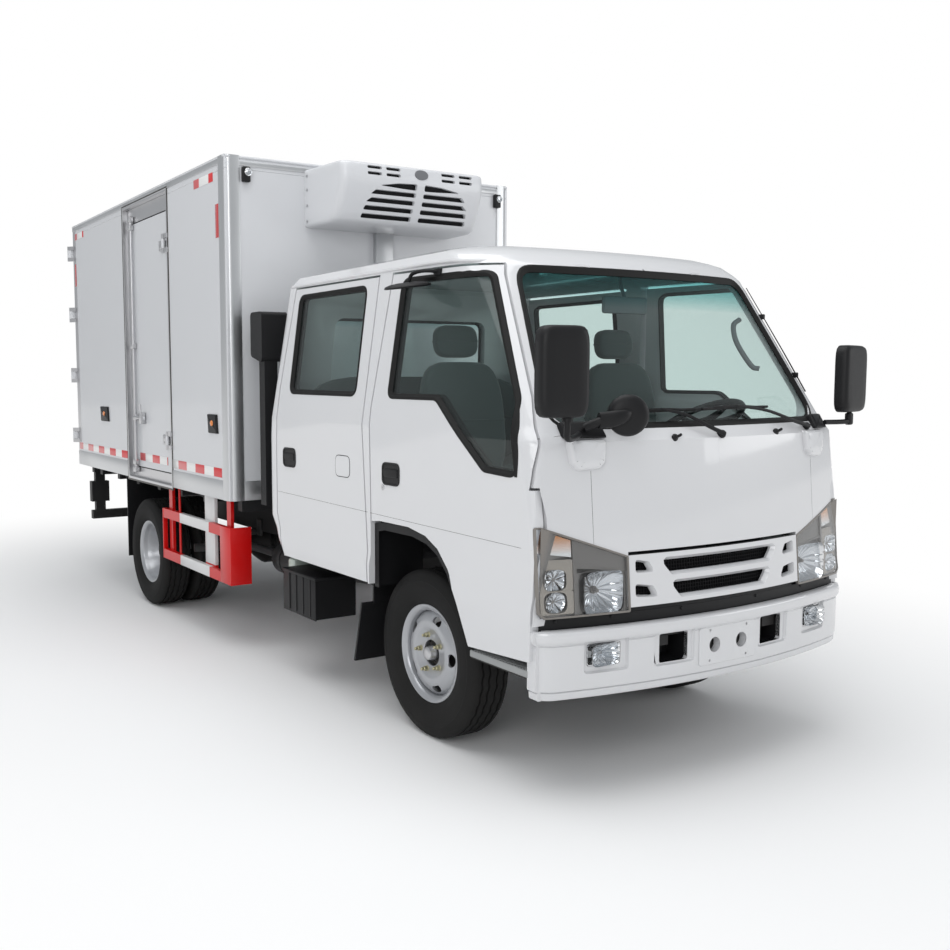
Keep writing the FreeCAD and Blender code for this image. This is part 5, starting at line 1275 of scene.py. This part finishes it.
def chassis_trim():
    """Straps of the fuel tank, battery cover, coolant bottle and step treads."""
    strap, path = Shape(), rounded(rectangle(438, 862, 418, 722), 62)
    for y in (1600, 2090):
        strap.moulding(path, [(0, -16), (3, -16), (3, 16), (0, 16)], on_plane("Y", y, 1))
    strap.lathe([(0, 40), (26, 40), (30, 36), (30, 0)], (862, 1865, 640), "X", 28)
    strap.done("tank_straps", STEEL, bevel=0.5)
    battery = Shape().slab((-884, 907, 352), (-876, 1285, 580), 5)
    for y in (960, 1040, 1120, 1200):
        battery.slab((-888, y, 366), (-880, y + 14, 566), 3)
    battery.slab((-890, 900, 566), (-636, 1292, 582), 5)
    battery.done("battery_cover", PLASTIC)
    bottle = Shape().slab((-800, 1310, 470), (-690, 1400, 610), 14)
    bottle.lathe([(0, 22), (18, 22), (20, 18), (20, 0)], (-745, 1355, 608), "Z", 20)
    bottle.slab((-700, 1330, 600), (-350, 1380, 620), 3)
    bottle.done("coolant_bottle", surface("pale_tank", (0.55, 0.62, 0.56), 0.35, tint=0.06))
    treads = Shape()
    for side, _ in SIDES:
        for y in range(-800, -462, 18):
            treads.slab((side * 800, y, 511), (side * 882, y + 8, 516), 1.5)
        treads.slab((side * 880, -818, 486), (side * 890, -452, 514), 4)
    treads.done("step_treads", surface("step_edge", (0.30, 0.31, 0.31), tint=0.1))


def tail():
    wall = on_plane("Y", BOX_REAR_Y, 1)
    for side, word in SIDES:
        for name, glass, z0, z1 in (("red_", RED_LENS, 596, 660), ("amber_", AMBER, 664, 706),
                                    ("clear_", LENS, 710, 752)):
            Shape().slab((side * 788, 4918, z0), (side * 930, 4928, z1), 3).done("tail_lamp_" + name + word, glass)
        body = "box_rear_door_" + word
        Shape().moulding(rounded(rectangle(side * 8, side * 938, 1006, 2794), 10, 3),
                         [(-10, 0), (-10, 4), (2, 5), (5, 1), (5, -6)], wall).done(
            "rear_door_seal_" + word, RUBBER, body)
        rod = Shape().tube([(side * 120, BOX_REAR_Y + 22, z) for z in (962, 2838)], 14, 16, smooth=False)
        rod.slab((side * 118, BOX_REAR_Y + 16, 1398), (side * 330, BOX_REAR_Y + 32, 1426), 5)
        for z in (1060, 1500, 2100, 2740):
            rod.slab((side * 96, BOX_REAR_Y, z - 24), (side * 144, BOX_REAR_Y + 32, z + 24), 5)
        rod.done("rear_lock_" + word, STEEL, body)


# Stage, lights and camera
def stage():
    """Pale floor that fades into the white background, world light and three lamps."""
    mat = bpy.data.materials.new("pale_floor")
    nodes = Nodes(mat)
    shader = nodes["Principled BSDF"]
    shader.inputs["Base Color"].default_value = (0.90, 0.90, 0.90, 1)
    shader.inputs["Roughness"].default_value = 0.9
    flat = nodes.add("Mapping", {"Vector": nodes.coords()}, Scale=(1, 0.62, 1))
    away = nodes.add("VectorMath", {0: flat}, {"operation": "LENGTH"}).outputs["Value"]
    far = nodes.add("MapRange", {"Value": away}, {"interpolation_type": "SMOOTHSTEP"}, From_Min=1.6, From_Max=4.4,
                    To_Min=0.0, To_Max=1.0)
    glow = nodes.add("Emission", Color=(1, 1, 1, 1), Strength=1.0)
    nodes.mixed(far, shader, glow, nodes["Material Output"])
    mesh = bpy.data.meshes.new("floor")
    mesh.from_pydata([(*corner, 0) for corner in rectangle(-60, 60, -60, 60)], [], [(0, 1, 2, 3)])
    mesh.materials.append(mat)
    floor = added("floor", mesh)
    floor.location.z = -0.0005

    world = bpy.data.worlds.new("studio")
    bpy.context.scene.world = world
    nodes = Nodes(world)
    nodes.tree.nodes.clear()
    path = nodes.add("LightPath").outputs
    seen = nodes.add("Background", Color=(1, 1, 1, 1), Strength=1.0)
    light = nodes.add("Background", Color=(0.94, 0.97, 1.0, 1), Strength=0.52)
    either = nodes.math("MAXIMUM", path["Is Camera Ray"], path["Is Transmission Ray"])
    nodes.mixed(either, light, seen, nodes.add("OutputWorld"))

    for name, spot, aim, size, power in (("sky", (-1.5, -1.5, 7.5), (0, -0.5, 0), 7.0, 330),
                                         ("front_right", (-6.5, -7.5, 4.2), (0, -1.2, 1.1), 4.0, 170),
                                         ("front_left", (6.0, -6.5, 3.2), (0, -2.0, 1.2), 3.5, 80)):
        lamp = bpy.data.lights.new(name, "AREA")
        lamp.size = size
        lamp.energy = power
        holder = added(name, lamp)
        holder.location = spot
        holder.rotation_euler = (Vector(aim) - Vector(spot)).to_track_quat("-Z", "Y").to_euler()


def camera():
    """The photograph's view, solved from the truck's own edges."""
    turn, down, roll = radians(-31.0793), radians(5.4086), radians(-0.2151)
    forward = Vector((-sin(turn) * cos(down), cos(turn) * cos(down), -sin(down)))
    right = Vector((cos(turn), sin(turn), 0))
    up = right.cross(forward)
    data = bpy.data.cameras.new("camera")
    data.sensor_width = 36.0
    data.lens = 39.008
    data.shift_x = 0.1024
    data.shift_y = 0.0016
    data.clip_end = 200
    holder = added("camera", data)
    matrix = Matrix((right * cos(roll) + up * sin(roll), up * cos(roll) - right * sin(roll),
                     -forward)).transposed().to_4x4()
    matrix.translation = place((-3320.35, -3766.76, 1608.79))
    holder.matrix_world = matrix
    bpy.context.scene.camera = holder


for build in (wheels, window_trim, door_pulls, headlamps, grille, bumper, front_details, side_lines, arch_linings,
              mirrors, kerb_mirror, wipers, interior, box_trim, box_lamps, side_door, cooling_unit, guard_paint,
              springs, exhaust, chassis_trim, tail, stage, camera):
    build()
edged(["box_front_wall", "box_right_wall", "box_left_wall", "box_roof", "box_side_door", "dashboard"], 3.0)
bpy.context.scene.view_settings.view_transform = "Standard"
